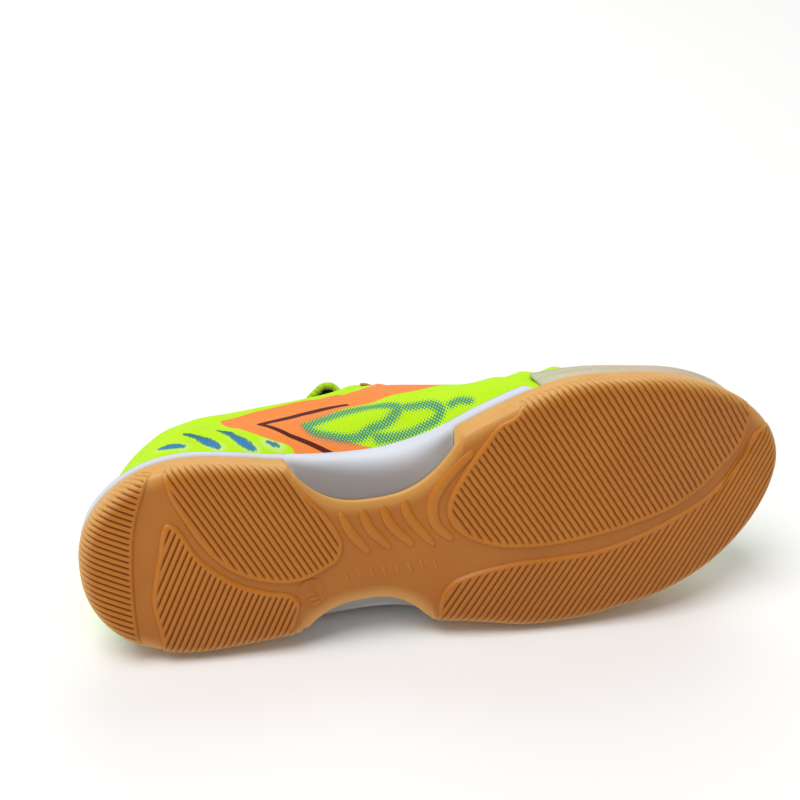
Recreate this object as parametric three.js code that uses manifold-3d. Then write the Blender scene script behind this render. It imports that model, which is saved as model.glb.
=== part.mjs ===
// A left indoor court shoe that lies on its lateral side, in millimetres.
// Every piece is shaped with the shoe on its sole: X runs from heel to toe, Y to the lateral side, Z up.
// The last step rolls the whole shoe onto the floor, where its sole edge and its upper both rest.

import * as THREE from 'three'
import { mergeVertices } from 'three/addons/utils/BufferGeometryUtils.js'
import { ConvexHull } from 'three/addons/math/ConvexHull.js'
import Module from 'manifold-3d'

const wasm = await Module()
wasm.setup()

// Driving dimensions
const soleLength = 280
const ballWidth = 100
const instepHeight = 100
const toeSpring = 14
const archRise = 2
const heelBevel = 2
const pieceGap = 0.3

// Outsole
const gumWallHeel = 12
const gumWallToe = 13.5
const gumWallThickness = 3
const gumWallDraft = 1
const gumFloor = 4
const gumEdgeRound = 6
const channelDepth = 1.2
const podWrap = 5.5
const podRoot = 0.7
const ribWidth = 3.2
const medialArchReach = 0.13
const lateralArchReach = 0.28

// Midsole
const bandHeightHeel = 6
const bandHeightBall = 8
const bandInset = 0.8
const rimWidth = 3
const rimSlant = 0.2
const footbedHeel = 15
const footbedToe = 9

// Upper, and what lies on it or in it
const wall = 2
const throatGapTop = 17
const throatGapToe = 11
const toeGuardThickness = 0.9
const eyestayThickness = 1
const tongueThickness = 3.5
const tongueHalfWidth = 27
const insoleThickness = 4
const eyeletDiameter = 4.5
const eyeletSetback = 8
const laceWidth = 6
const laceThickness = 1.4
const laceClearance = 1.3

// Shares of the sole's length where its parts begin and end
const heelRound = 0.147
const toeRound = 0.732
const bevelEnd = 0.05
const springStart = 0.7
const archStart = 0.27
const archEnd = 0.56
const wallRise = { start: 0.5, end: 0.8 }
const bandRise = { start: 0.15, end: 0.5 }
const bandFade = { start: 0.6, end: 0.63 }
const footbedDrop = { start: 0.46, end: 0.75 }
const guardStart = 0.62

// How full the round ends are in plan: 2 is an ellipse, and more is squarer.
const soleEnds = { heel: 2.2, toe: 1.85 }
const lastEnds = { heel: 1.8, toe: 2 }

// The gum's side in section: insets from its edge, and rises as shares of how high the pods wrap
const wrapShare = 0.55
const cupBend = { inset: 2.4, rise: 0.3 }
const cupSide = { inset: 0.3, topInset: 0.4 }
const cupFloorWidth = 3
const podBend = { inset: 1.8, rise: 0.24 }
const podBack = { inset: 3.4, rise: 0.3 }
const podThickness = 1.4
const podOverlap = 2

// Fits between pieces, as multiples of the gap
const seatGap = 1.2 * pieceGap
const snugGap = 1.4 * pieceGap
const upperGap = 1.6 * pieceGap
const shoulderGap = 2 * pieceGap
const cupCornerRound = 0.3
const cupCornerRise = 1
const ledgeBelowRim = 0.1
const insoleRound = 0.6

// The sole's plan: at is a share of the sole's length, and the edges are shares of the ball's width.
const solePlan = [
  { at: 0.0, medial: -0.33, lateral: 0.385 },
  { at: 0.147, medial: -0.346, lateral: 0.404 },
  { at: 0.204, medial: -0.328, lateral: 0.399 },
  { at: 0.262, medial: -0.3, lateral: 0.39 },
  { at: 0.358, medial: -0.272, lateral: 0.398 },
  { at: 0.412, medial: -0.274, lateral: 0.408 },
  { at: 0.47, medial: -0.312, lateral: 0.43 },
  { at: 0.53, medial: -0.388, lateral: 0.458 },
  { at: 0.59, medial: -0.45, lateral: 0.495 },
  { at: 0.65, medial: -0.494, lateral: 0.503 },
  { at: 0.7, medial: -0.499, lateral: 0.495 },
  { at: 0.745, medial: -0.492, lateral: 0.477 },
  { at: 1.0, medial: -0.485, lateral: 0.47 }
]
const soleMiddle = { heel: 0.029, toe: -0.03 }

// Where the gum is cut back at the arch: the cut is deepest at its centre and opens out with this power.
const archCut = {
  medial: { centre: 0.378, reach: medialArchReach, halfLength: 0.132, opening: 0.27 },
  lateral: { centre: 0.361, reach: lateralArchReach, halfLength: 0.084, opening: 0.1 }
}
const archPower = 2.6

// How the midsole's side sweeps from the gum's edge to its rim, in shares of the way out and up
const archProfile = [
  { out: 0.5, up: 0.24 },
  { out: 0.88, up: 0.58 }
]

// The last: at is a share of the upper's length, widths are shares of the ball's width and heights of
// the instep's. wide is the fullest girth and its height, ridge the line over the instep, and roundness
// is 1 for an ellipse and less for a squarer section.
const lastSections = [
  { at: 0.0, medial: -0.33, lateral: 0.34, wideZ: 0.34, ridgeY: 0.01, ridgeZ: 0.72, roundness: 1 },
  { at: 0.08, medial: -0.33, lateral: 0.35, wideZ: 0.35, ridgeY: 0.01, ridgeZ: 0.75, roundness: 1 },
  { at: 0.125, medial: -0.33, lateral: 0.352, wideZ: 0.36, ridgeY: 0.01, ridgeZ: 0.81, roundness: 1 },
  { at: 0.19, medial: -0.33, lateral: 0.353, wideZ: 0.37, ridgeY: 0, ridgeZ: 0.93, roundness: 1 },
  { at: 0.24, medial: -0.332, lateral: 0.352, wideZ: 0.38, ridgeY: 0, ridgeZ: 1.05, roundness: 1 },
  { at: 0.3, medial: -0.33, lateral: 0.35, wideZ: 0.42, ridgeY: 0, ridgeZ: 1.1, roundness: 0.95 },
  { at: 0.38, medial: -0.34, lateral: 0.345, wideZ: 0.45, ridgeY: -0.01, ridgeZ: 1.02, roundness: 0.85 },
  { at: 0.457, medial: -0.365, lateral: 0.37, wideZ: 0.46, ridgeY: -0.02, ridgeZ: 0.9, roundness: 0.95 },
  { at: 0.521, medial: -0.39, lateral: 0.405, wideZ: 0.39, ridgeY: -0.03, ridgeZ: 0.77, roundness: 1 },
  { at: 0.555, medial: -0.4, lateral: 0.425, wideZ: 0.35, ridgeY: -0.03, ridgeZ: 0.7, roundness: 0.98 },
  { at: 0.592, medial: -0.43, lateral: 0.445, wideZ: 0.31, ridgeY: -0.04, ridgeZ: 0.635, roundness: 0.96 },
  { at: 0.675, medial: -0.465, lateral: 0.47, wideZ: 0.27, ridgeY: -0.05, ridgeZ: 0.53, roundness: 0.92 },
  { at: 0.736, medial: -0.465, lateral: 0.46, wideZ: 0.26, ridgeY: -0.06, ridgeZ: 0.475, roundness: 0.9 },
  { at: 0.83, medial: -0.44, lateral: 0.42, wideZ: 0.24, ridgeY: -0.06, ridgeZ: 0.425, roundness: 0.88 },
  { at: 1.0, medial: -0.42, lateral: 0.4, wideZ: 0.2, ridgeY: -0.05, ridgeZ: 0.37, roundness: 0.88 }
]
const heelBack = { bulge: 7, bulgeHeight: 32, lean: 0.0045 }
const toeSetback = 7
const toeBoxPower = 0.7

// The collar's top line: heights are shares of the instep's height, from the heel to the top eyelet.
const collarLine = [
  { at: 0.0, height: 0.64 },
  { at: 0.1, height: 0.64 },
  { at: 0.19, height: 0.62 },
  { at: 0.25, height: 0.63 },
  { at: 0.31, height: 0.66 },
  { at: 0.36, height: 0.7 },
  { at: 0.4, height: 0.86 },
  { at: 0.44, height: 1.06 }
]
const throatStart = 0.3
const throatEnd = 0.67
const throatTop = 0.4
const throatEndTaper = 6
const collarEnd = collarLine[collarLine.length - 1].at
const eyestayReach = 0.04
const eyestayRows = 2
const eyeletShares = [0.63, 0.58, 0.53, 0.48, 0.435]

// The tongue's rows from its root to its tip: half and drop shape its wings once it lifts off the last.
const tongueRows = [
  { at: 0.72, half: 0.75, lift: 0, drop: 0 },
  { at: 0.67, half: 0.85, lift: 0, drop: 0 },
  { at: 0.61, half: 0.9, lift: 0, drop: 0 },
  { at: 0.55, half: 0.9, lift: 0, drop: 0 },
  { at: 0.49, half: 0.85, lift: 0, drop: 0 },
  { at: 0.445, half: 0.6, lift: 0, drop: 0 },
  { at: 0.405, half: 0.55, lift: 0.035, drop: 0.05 },
  { at: 0.37, half: 0.76, lift: 0.07, drop: 0.11 },
  { at: 0.337, half: 0.9, lift: 0.08, drop: 0.14 },
  { at: 0.305, half: 0.92, lift: 0.06, drop: 0.13 },
  { at: 0.287, half: 0.84, lift: 0.03, drop: 0.12 },
  { at: 0.277, half: 0.6, lift: 0.015, drop: 0.08 }
]
const tongueSteps = 4
const tongueClearance = 1
const laceSteps = 4

// Stations along the shoe, rows up its side and steps round its small forms
const soleEndStations = 8
const soleMiddleStations = 31
const upperEndStations = 6
const upperMiddleStations = 20
const upperHeelRound = 0.13
const upperToeRound = 0.8
const crownRows = 6
const lowerBends = [0.35, 0.7]
const podPointsPerCorner = 1.5
const ribSteps = 6
const ribEndShare = 0.35
const eyeletSides = 8
const planStep = 0.0008
const lastStep = 0.004
const riseSteps = 100
const prismMargin = 5
const cutBackLimit = 0.5
const weldDistance = 1e-3
const mergeDistance = 1e-4
const pointsPerMillimetre = 500

const colours = {
  gum: 0xd99a50,
  midsole: 0xdfe4ea,
  knit: 0xb9eb16,
  film: 0xccc4a4,
  eyestay: 0xf59a4c,
  lining: 0x2b2c1c,
  lace: 0xc9f02a
}

// Smooth value of one column of a table at a share of the length
function tableValue(table, column, at) {
  const last = table.length - 1
  const passed = table.filter((entry) => entry.at <= at).length
  const row = THREE.MathUtils.clamp(passed - 1, 0, last - 1)
  const slope = (index) => {
    const before = table[Math.max(index - 1, 0)]
    const after = table[Math.min(index + 1, last)]
    return (after[column] - before[column]) / (after.at - before.at)
  }
  const start = table[row]
  const end = table[row + 1]
  const step = end.at - start.at
  const t = THREE.MathUtils.clamp((at - start.at) / step, 0, 1)
  const rise = start[column] * (2 * t ** 3 - 3 * t ** 2 + 1) + end[column] * (3 * t ** 2 - 2 * t ** 3)
  return rise + step * (slope(row) * (t ** 3 - 2 * t ** 2 + t) + slope(row + 1) * (t ** 3 - t ** 2))
}

// Shares that crowd together where both ends turn round
function roundedShares(endCount, middleCount, heelEnd, toeStart) {
  const shares = []
  for (let i = 0; i < endCount; i += 1) {
    shares.push(heelEnd * (1 - Math.cos((Math.PI / 2) * (i / endCount))))
  }
  for (let i = 0; i <= middleCount; i += 1) {
    shares.push(heelEnd + (toeStart - heelEnd) * (i / middleCount))
  }
  for (let i = 1; i <= endCount; i += 1) {
    shares.push(toeStart + (1 - toeStart) * Math.sin((Math.PI / 2) * (i / endCount)))
  }
  return shares
}

// Share of the full width that is left inside a round end
function endFullness(at, heelEnd, toeStart, power) {
  const arc = (t, n) => Math.max(1 - t ** n, 0) ** (1 / n)
  if (at < heelEnd) return arc(1 - at / heelEnd, power.heel)
  if (at > toeStart) return arc((at - toeStart) / (1 - toeStart), power.toe)
  return 1
}

// Smooth value between two numbers over a stretch of the length
function blend(from, to, at, stretch) {
  return THREE.MathUtils.lerp(from, to, THREE.MathUtils.smoothstep(at, stretch.start, stretch.end))
}

// Height of the tread above the floor: heel bevel, arch and toe spring
function treadHeight(at) {
  const bevel = heelBevel * Math.max(1 - at / bevelEnd, 0) ** 2
  const archShare = THREE.MathUtils.clamp((at - archStart) / (archEnd - archStart), 0, 1)
  const arch = archRise * Math.sin(Math.PI * archShare) ** 2
  const spring = toeSpring * Math.max((at - springStart) / (1 - springStart), 0) ** 2
  return bevel + arch + spring
}

function widePlan(side, at) {
  const middle = THREE.MathUtils.lerp(soleMiddle.heel, soleMiddle.toe, at)
  const fullness = endFullness(at, heelRound, toeRound, soleEnds)
  return ballWidth * (middle + (tableValue(solePlan, side, at) - middle) * fullness)
}

// The gum's plan is the sole's, cut back at the arch
function gumPlan(side, at) {
  const cut = archCut[side]
  const sign = side === 'medial' ? -1 : 1
  const share = Math.abs(at - cut.centre) / cut.halfLength
  const edge = ballWidth * (cut.reach + cut.opening * share ** archPower)
  return sign * Math.min(sign * widePlan(side, at), edge)
}

function isCutBack(side, at) {
  return Math.abs(gumPlan(side, at) - widePlan(side, at)) > cutBackLimit
}

// A point of a plan, moved square to its edge by the inset
function planPoint(plan, side, at, inset) {
  const before = Math.max(at - planStep, 0)
  const after = Math.min(at + planStep, 1)
  const point = new THREE.Vector2(at * soleLength, plan(side, at))
  const sign = side === 'medial' ? -1 : 1
  const along = new THREE.Vector2((after - before) * soleLength, plan(side, after) - plan(side, before))
  let outward = new THREE.Vector2(-sign * along.y, sign * along.x).normalize()
  if (at === 0) outward = new THREE.Vector2(-1, 0)
  if (at === 1) outward = new THREE.Vector2(1, 0)
  return point.addScaledVector(outward, -inset)
}

// Geometry helpers: every piece becomes one closed, welded solid
function weld(positions, triangles) {
  const geometry = new THREE.BufferGeometry()
  const numbers = positions.flatMap((p) => [p.x, p.y, p.z])
  geometry.setAttribute('position', new THREE.Float32BufferAttribute(numbers, 3))
  geometry.setIndex(triangles.flat())
  const welded = mergeVertices(geometry, weldDistance)
  const index = welded.getIndex().array
  const kept = []
  for (let i = 0; i < index.length; i += 3) {
    const [a, b, c] = index.slice(i, i + 3)
    if (a !== b && b !== c && c !== a) kept.push(a, b, c)
  }
  welded.setIndex(kept)
  return welded
}

// A closed skin over sections of equal length, whose first and last fold flat or are capped
function loft(sections, capped) {
  const points = sections.flat()
  const size = sections[0].length
  const triangles = []
  for (let i = 0; i + 1 < sections.length; i += 1) {
    for (let j = 0; j < size; j += 1) {
      const a = i * size + j
      const b = i * size + ((j + 1) % size)
      triangles.push([a, b, b + size], [a, b + size, a + size])
    }
  }
  if (capped) {
    const end = (sections.length - 1) * size
    for (let j = 1; j + 1 < size; j += 1) {
      triangles.push([0, j + 1, j], [end, end + j, end + j + 1])
    }
  }
  return weld(points, triangles)
}

function toSolid(geometry) {
  const bare = geometry.clone()
  bare.deleteAttribute('normal')
  bare.deleteAttribute('uv')
  const welded = mergeVertices(bare, mergeDistance)
  return new wasm.Manifold(
    new wasm.Mesh({
      numProp: 3,
      vertProperties: Float32Array.from(welded.getAttribute('position').array),
      triVerts: Uint32Array.from(welded.getIndex().array)
    })
  )
}

function toGeometry(solid) {
  const mesh = solid.getMesh()
  const geometry = new THREE.BufferGeometry()
  geometry.setAttribute('position', new THREE.BufferAttribute(Float32Array.from(mesh.vertProperties), 3))
  geometry.setIndex(new THREE.BufferAttribute(Uint32Array.from(mesh.triVerts), 1))
  return geometry
}

const soleShares = roundedShares(soleEndStations, soleMiddleStations, heelRound, toeRound)

// A solid whose section is a list of corners, each worked out for one side at one share of the length
function soleSolid(corners) {
  const sections = soleShares.map((at) => {
    const medial = corners('medial', at)
    const lateral = corners('lateral', at)
    return [...medial.reverse(), ...lateral]
  })
  return loft(sections, false)
}

function corner(plan, side, at, inset, height) {
  const flat = planPoint(plan, side, at, inset)
  return new THREE.Vector3(flat.x, flat.y, treadHeight(flat.x / soleLength) + height)
}

// Height of the gum's wall above the tread: only its floor is left where it is cut back
function gumWallTop(at) {
  return blend(gumWallHeel, gumWallToe, at, wallRise)
}

function gumWallHeight(side, at) {
  return isCutBack(side, at) ? gumFloor : gumWallTop(at)
}

function podWrapHeight(side, at) {
  return Math.min(podWrap, gumWallHeight(side, at) * wrapShare)
}

// The cup under its pods; grown by a clearance, it is also what the midsole is cut to
function outsoleBase(grow = 0) {
  return soleSolid((side, at) => {
    const top = gumWallHeight(side, at)
    const wrap = podWrapHeight(side, at)
    const inner = gumWallThickness + gumWallDraft
    return [
      corner(gumPlan, side, at, gumEdgeRound, channelDepth),
      corner(gumPlan, side, at, cupBend.inset, THREE.MathUtils.lerp(channelDepth, wrap, cupBend.rise)),
      corner(gumPlan, side, at, cupSide.inset, wrap),
      corner(gumPlan, side, at, cupSide.topInset, top + grow),
      corner(gumPlan, side, at, gumWallThickness + grow, top + grow),
      corner(gumPlan, side, at, inner + grow, gumFloor + grow),
      corner(gumPlan, side, at, inner + cupFloorWidth, gumFloor + grow)
    ]
  })
}

// The layer that the pods are cut from: it wraps from the tread round onto the side
function treadLayer() {
  return soleSolid((side, at) => {
    const wrap = podWrapHeight(side, at)
    return [
      corner(gumPlan, side, at, gumEdgeRound + podOverlap, 0),
      corner(gumPlan, side, at, gumEdgeRound, 0),
      corner(gumPlan, side, at, podBend.inset, wrap * podBend.rise),
      corner(gumPlan, side, at, 0, wrap),
      corner(gumPlan, side, at, podThickness, wrap),
      corner(gumPlan, side, at, podBack.inset, channelDepth + wrap * podBack.rise),
      corner(gumPlan, side, at, gumEdgeRound + podOverlap, channelDepth + podRoot)
    ]
  })
}

// Plans of the tread pods: points are shares of the sole's length and of the ball's width.
const podPlans = {
  heelCrescent: [
    [0.1, -0.36], [0.093, -0.3], [0.073, -0.13], [0.064, 0.1], [0.064, 0.3], [0.07, 0.42], [-0.04, 0.42],
    [-0.04, -0.36]
  ],
  heelMedial: [
    [0.115, -0.37], [0.112, -0.28], [0.129, -0.15], [0.15, -0.034], [0.171, 0.043], [0.196, 0.102],
    [0.246, 0.156], [0.275, 0.159], [0.3, 0.137], [0.329, 0.092], [0.336, 0.03], [0.325, -0.059],
    [0.304, -0.145], [0.282, -0.24], [0.264, -0.32], [0.262, -0.37]
  ],
  heelLateral: [
    [0.09, 0.42], [0.088, 0.31], [0.082, 0.16], [0.095, -0.02], [0.108, -0.14], [0.122, -0.134],
    [0.15, 0.006], [0.171, 0.071], [0.196, 0.126], [0.232, 0.174], [0.264, 0.202], [0.275, 0.25],
    [0.268, 0.32], [0.257, 0.42]
  ],
  forefootMedial: [
    [0.577, -0.55], [0.571, -0.418], [0.546, -0.379], [0.521, -0.29], [0.5, -0.209], [0.478, -0.09],
    [0.478, -0.01], [0.493, 0.052], [0.536, 0.117], [0.579, 0.143], [0.625, 0.152], [0.711, 0.13],
    [0.757, 0.106], [0.807, 0.073], [0.854, 0.012], [0.886, -0.057], [0.918, -0.133], [0.932, -0.21],
    [0.9, -0.38], [0.8, -0.55]
  ],
  forefootLateral: [
    [0.464, 0.55], [0.464, 0.36], [0.47, 0.29], [0.486, 0.247], [0.521, 0.215], [0.579, 0.195],
    [0.64, 0.197], [0.7, 0.19], [0.761, 0.151], [0.821, 0.095], [0.871, 0.036], [0.904, -0.033],
    [0.929, -0.105], [0.943, -0.183], [0.965, -0.1], [0.955, 0.1], [0.9, 0.55]
  ]
}

// The low ribs of the waist and the one that rings the forefoot's medial pod, by their centre lines
const ribLines = [
  [[0.332, -0.1], [0.346, -0.01], [0.371, 0.086]],
  [[0.361, -0.105], [0.371, -0.02], [0.4, 0.08]],
  [[0.389, -0.11], [0.4, -0.02], [0.432, 0.08]],
  [[0.418, -0.125], [0.425, -0.045], [0.461, 0.092]],
  [[0.515, -0.28], [0.486, -0.21], [0.46, -0.1], [0.462, 0.0], [0.486, 0.075]]
]

function planCurve(points, closed) {
  const places = points.map(([along, across]) => new THREE.Vector3(along * soleLength, across * ballWidth, 0))
  return new THREE.CatmullRomCurve3(places, closed, 'centripetal')
}

function prism(outline) {
  const depth = toeSpring + gumWallToe + 2 * prismMargin
  const geometry = new THREE.ExtrudeGeometry(new THREE.Shape(outline), { depth, bevelEnabled: false })
  geometry.translate(0, 0, -prismMargin)
  return toSolid(geometry)
}

function podPrism(points) {
  const outline = planCurve(points, true).getPoints(Math.round(points.length * podPointsPerCorner))
  return prism(outline.slice(0, -1).map((p) => new THREE.Vector2(p.x, p.y)))
}

// A rib is its centre line, thickened to both sides, with tapered ends
function ribPrism(points) {
  const curve = planCurve(points, false)
  const left = []
  const right = []
  for (let i = 0; i <= ribSteps; i += 1) {
    const place = curve.getPoint(i / ribSteps)
    const along = curve.getTangent(i / ribSteps)
    const fullness = Math.sqrt(Math.sin((Math.PI * i) / ribSteps))
    const half = (ribWidth / 2) * THREE.MathUtils.lerp(ribEndShare, 1, fullness)
    left.push(new THREE.Vector2(place.x - along.y * half, place.y + along.x * half))
    right.unshift(new THREE.Vector2(place.x + along.y * half, place.y - along.x * half))
  }
  return prism([...right.reverse(), ...left.reverse()])
}

function outsole() {
  const layer = toSolid(treadLayer())
  const raised = [...Object.values(podPlans).map(podPrism), ...ribLines.map(ribPrism)]
  const lugs = layer.intersect(wasm.Manifold.union(raised))
  return toGeometry(toSolid(outsoleBase()).add(lugs))
}

// Height of the footbed above the tread, which drops from the arch to the ball
function footbedHeight(at) {
  return blend(footbedHeel, footbedToe, at, footbedDrop)
}

// Height of the midsole's rim above the tread: a band at the heel and the arch, none under the forefoot
function rimHeight(at) {
  const band = blend(bandHeightHeel, bandHeightBall, at, bandRise)
  return blend(gumWallHeel + band, footbedHeight(at), at, bandFade)
}

function midsole() {
  const block = soleSolid((side, at) => {
    const wallHeight = gumWallHeight(side, at)
    const ledge = Math.min(wallHeight + seatGap, rimHeight(at) - ledgeBelowRim)
    const snug = (height) => {
      const depth = THREE.MathUtils.clamp((wallHeight - height) / (gumWallHeel - gumFloor), 0, 1)
      return gumWallThickness + gumWallDraft * depth + snugGap
    }
    const reach = blend(bandInset, snug(ledge), at, bandFade)
    const scoop = corner(gumPlan, side, at, reach, ledge)
    const rim = corner(widePlan, side, at, reach + rimSlant, rimHeight(at))
    const underside = archProfile.map(({ out, up }) => {
      const place = new THREE.Vector3().lerpVectors(scoop, rim, out)
      place.z = THREE.MathUtils.lerp(scoop.z, rim.z, up)
      return place
    })
    const lip = blend(bandInset + rimSlant + rimWidth, snug(ledge) + 2 * rimSlant, at, bandFade)
    return [
      corner(gumPlan, side, at, snug(gumFloor) + cupCornerRound, gumFloor + seatGap),
      corner(gumPlan, side, at, snug(gumFloor), Math.min(ledge, gumFloor + cupCornerRise)),
      corner(gumPlan, side, at, snug(ledge), ledge),
      scoop,
      ...underside,
      rim,
      corner(widePlan, side, at, lip, rimHeight(at)),
      corner(widePlan, side, at, lip + rimSlant, footbedHeight(at))
    ]
  })
  return toGeometry(toSolid(block).subtract(toSolid(outsoleBase(pieceGap))))
}

function insole() {
  const inset = bandInset + rimWidth + 2 * rimSlant + 2 * pieceGap + wall + insoleRound
  return soleSolid((side, at) => {
    const base = footbedHeight(at) + pieceGap
    return [
      corner(widePlan, side, at, inset + insoleRound, base),
      corner(widePlan, side, at, inset, base + insoleThickness / 2),
      corner(widePlan, side, at, inset + insoleRound, base + insoleThickness)
    ]
  })
}

// The last, as one closed form: rise is 0 at the fullest girth and 1 on the ridge.
function lastPoint(side, at, rise) {
  const fullness = endFullness(at, upperHeelRound, upperToeRound, lastEnds)
  const crown = at > upperToeRound ? fullness ** toeBoxPower : 1
  const ridgeShare = tableValue(lastSections, 'ridgeY', at)
  const middle = THREE.MathUtils.lerp(soleMiddle.heel, ridgeShare, Math.min(at / upperHeelRound, 1))
  const wideY = middle + (tableValue(lastSections, side, at) - middle) * fullness
  const wideZ = tableValue(lastSections, 'wideZ', at)
  const ridgeZ = wideZ + (tableValue(lastSections, 'ridgeZ', at) - wideZ) * crown
  const roundness = tableValue(lastSections, 'roundness', at)
  const turn = (Math.PI / 2) * rise
  const y = ballWidth * (middle + (wideY - middle) * Math.max(Math.cos(turn), 0) ** roundness)
  const z = instepHeight * (wideZ + (ridgeZ - wideZ) * Math.sin(turn) ** roundness)
  return new THREE.Vector3(lengthwise(at, z), y, z + treadHeight(at))
}

// The heel's back bulges at its counter and leans forward to the collar
function lengthwise(at, height) {
  const back = heelBack.bulge + heelBack.lean * (height - heelBack.bulgeHeight) ** 2
  return THREE.MathUtils.lerp(back, soleLength - toeSetback, at)
}

const upperShares = roundedShares(upperEndStations, upperMiddleStations, upperHeelRound, upperToeRound)

function throatGap(at) {
  if (at < throatStart || at >= throatEnd) return 0
  const share = (throatEnd - at) / (throatEnd - throatTop)
  const taper = Math.sqrt(Math.min(share * throatEndTaper, 1))
  return THREE.MathUtils.lerp(throatGapToe, throatGapTop, share) * taper
}

// The rise at which the section is a given distance from its ridge
function riseAcross(side, at, distance) {
  const ridge = lastPoint(side, at, 1).y
  let low = 0
  let high = 1
  for (let i = 0; i < 30; i += 1) {
    const middle = (low + high) / 2
    if (Math.abs(lastPoint(side, at, middle).y - ridge) > distance) low = middle
    else high = middle
  }
  return low
}

// The rise of the upper's top edge: the collar's line, then the throat's edge, then the ridge
function topRise(side, at) {
  let rise = 1
  if (at < throatEnd) rise = riseAcross(side, at, throatGap(at))
  if (at >= collarEnd) return rise
  const collar = instepHeight * tableValue(collarLine, 'height', at)
  for (let i = 0; i < riseSteps; i += 1) {
    if (lastPoint(side, at, i / riseSteps).z > collar) return Math.min(rise, i / riseSteps)
  }
  return rise
}

// One line up the side of the upper, from its lasting edge to its top edge
function upperLine(side, at) {
  const inset = bandInset + rimWidth + 2 * rimSlant + upperGap
  const foot = corner(widePlan, side, at, inset, footbedHeight(at) + pieceGap)
  const rim = Math.max(rimHeight(at), gumWallTop(at))
  const shoulder = corner(widePlan, side, at, inset, rim + shoulderGap)
  const wide = lastPoint(side, at, 0)
  const line = [foot, shoulder]
  for (const share of lowerBends) {
    const bend = new THREE.Vector3().lerpVectors(shoulder, wide, Math.sin((Math.PI / 2) * share))
    bend.z = THREE.MathUtils.lerp(shoulder.z, wide.z, share)
    line.push(bend)
  }
  line.push(wide)
  const top = topRise(side, at)
  for (let row = 1; row <= crownRows; row += 1) line.push(lastPoint(side, at, (top * row) / crownRows))
  return line
}

// A skin of four-cornered cells over grids of points, with the smooth outward direction at each point
function makeSkin(grids) {
  const points = []
  const ids = new Map()
  const idOf = (point) => {
    const key = [point.x, point.y, point.z].map((value) => Math.round(value * pointsPerMillimetre)).join(' ')
    if (!ids.has(key)) ids.set(key, points.push(point) - 1)
    return ids.get(key)
  }
  const cells = []
  for (const { side, lines } of grids) {
    const grid = lines.map((line) => line.map(idOf))
    for (let station = 0; station + 1 < grid.length; station += 1) {
      for (let row = 0; row + 1 < grid[0].length; row += 1) {
        const [near, far] = [grid[station], grid[station + 1]]
        const quad = [near[row], near[row + 1], far[row + 1], far[row]]
        if (side === 'medial') quad.reverse()
        cells.push({ station, row, quad })
      }
    }
  }
  const directions = points.map(() => new THREE.Vector3())
  for (const { quad } of cells) {
    const [a, b, c, d] = quad.map((id) => points[id])
    const outward = new THREE.Vector3().subVectors(c, a).cross(new THREE.Vector3().subVectors(d, b))
    quad.forEach((id) => directions[id].add(outward))
  }
  directions.forEach((direction) => direction.normalize())
  return { points, cells, directions }
}

// A closed sheet over chosen cells of a skin, between two distances along its outward directions
function sheet({ points, cells, directions }, inner, outer, chosen = () => true) {
  const at = (distance) => points.map((point, id) => point.clone().addScaledVector(directions[id], distance))
  const faces = cells
    .filter(chosen)
    .flatMap(({ quad: [a, b, c, d] }) => [[a, b, c], [a, c, d]])
    .filter(([a, b, c]) => a !== b && b !== c && c !== a)
  const edges = new Set(faces.flatMap(([a, b, c]) => [`${a} ${b}`, `${b} ${c}`, `${c} ${a}`]))
  const count = points.length
  const back = faces.map(([a, b, c]) => [a + count, c + count, b + count])
  const rim = [...edges]
    .map((edge) => edge.split(' ').map(Number))
    .filter(([a, b]) => !edges.has(`${b} ${a}`))
    .flatMap(([a, b]) => [[b, a, a + count], [b, a + count, b + count]])
  return weld([...at(outer), ...at(inner)], [...faces, ...back, ...rim])
}

const upperSkin = makeSkin(
  ['medial', 'lateral'].map((side) => ({ side, lines: upperShares.map((at) => upperLine(side, at)) }))
)
const shoulderRow = 1
const wideRow = shoulderRow + lowerBends.length + 1
const topRow = wideRow + crownRows

// Outward direction of the last at a share and a rise
function lastOutward(side, at, rise) {
  const along = lastPoint(side, at + lastStep, rise).sub(lastPoint(side, at - lastStep, rise))
  const up = lastPoint(side, at, Math.min(rise + lastStep, 1)).sub(lastPoint(side, at, rise - lastStep))
  const outward = up.cross(along).normalize()
  return side === 'medial' ? outward.negate() : outward
}

function eyeletHole(side, at) {
  const rise = riseAcross(side, at, throatGap(at) + eyeletSetback)
  const outward = lastOutward(side, at, rise)
  const depth = 3 * (wall + eyestayThickness)
  const drill = new THREE.CylinderGeometry(eyeletDiameter / 2, eyeletDiameter / 2, depth, eyeletSides)
  drill.applyQuaternion(new THREE.Quaternion().setFromUnitVectors(new THREE.Vector3(0, 1, 0), outward))
  const centre = lastPoint(side, at, rise)
  drill.translate(centre.x, centre.y, centre.z)
  return toSolid(drill)
}

const eyeletHoles = wasm.Manifold.union(
  eyeletShares.flatMap((at) => [eyeletHole('medial', at), eyeletHole('lateral', at)])
)

function upper() {
  return toGeometry(toSolid(sheet(upperSkin, -wall, 0)).subtract(eyeletHoles))
}

function toeGuard() {
  const inCap = ({ station, row }) => upperShares[station] > guardStart && row >= shoulderRow && row <= wideRow
  return sheet(upperSkin, pieceGap, pieceGap + toeGuardThickness, inCap)
}

function eyestay() {
  const isBeside = (at) => at > throatTop && at < throatEnd + eyestayReach
  const nearThroat = ({ station, row }) => isBeside(upperShares[station]) && row >= topRow - eyestayRows
  const strip = sheet(upperSkin, pieceGap, pieceGap + eyestayThickness, nearThroat)
  return toGeometry(toSolid(strip).subtract(eyeletHoles))
}

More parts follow.
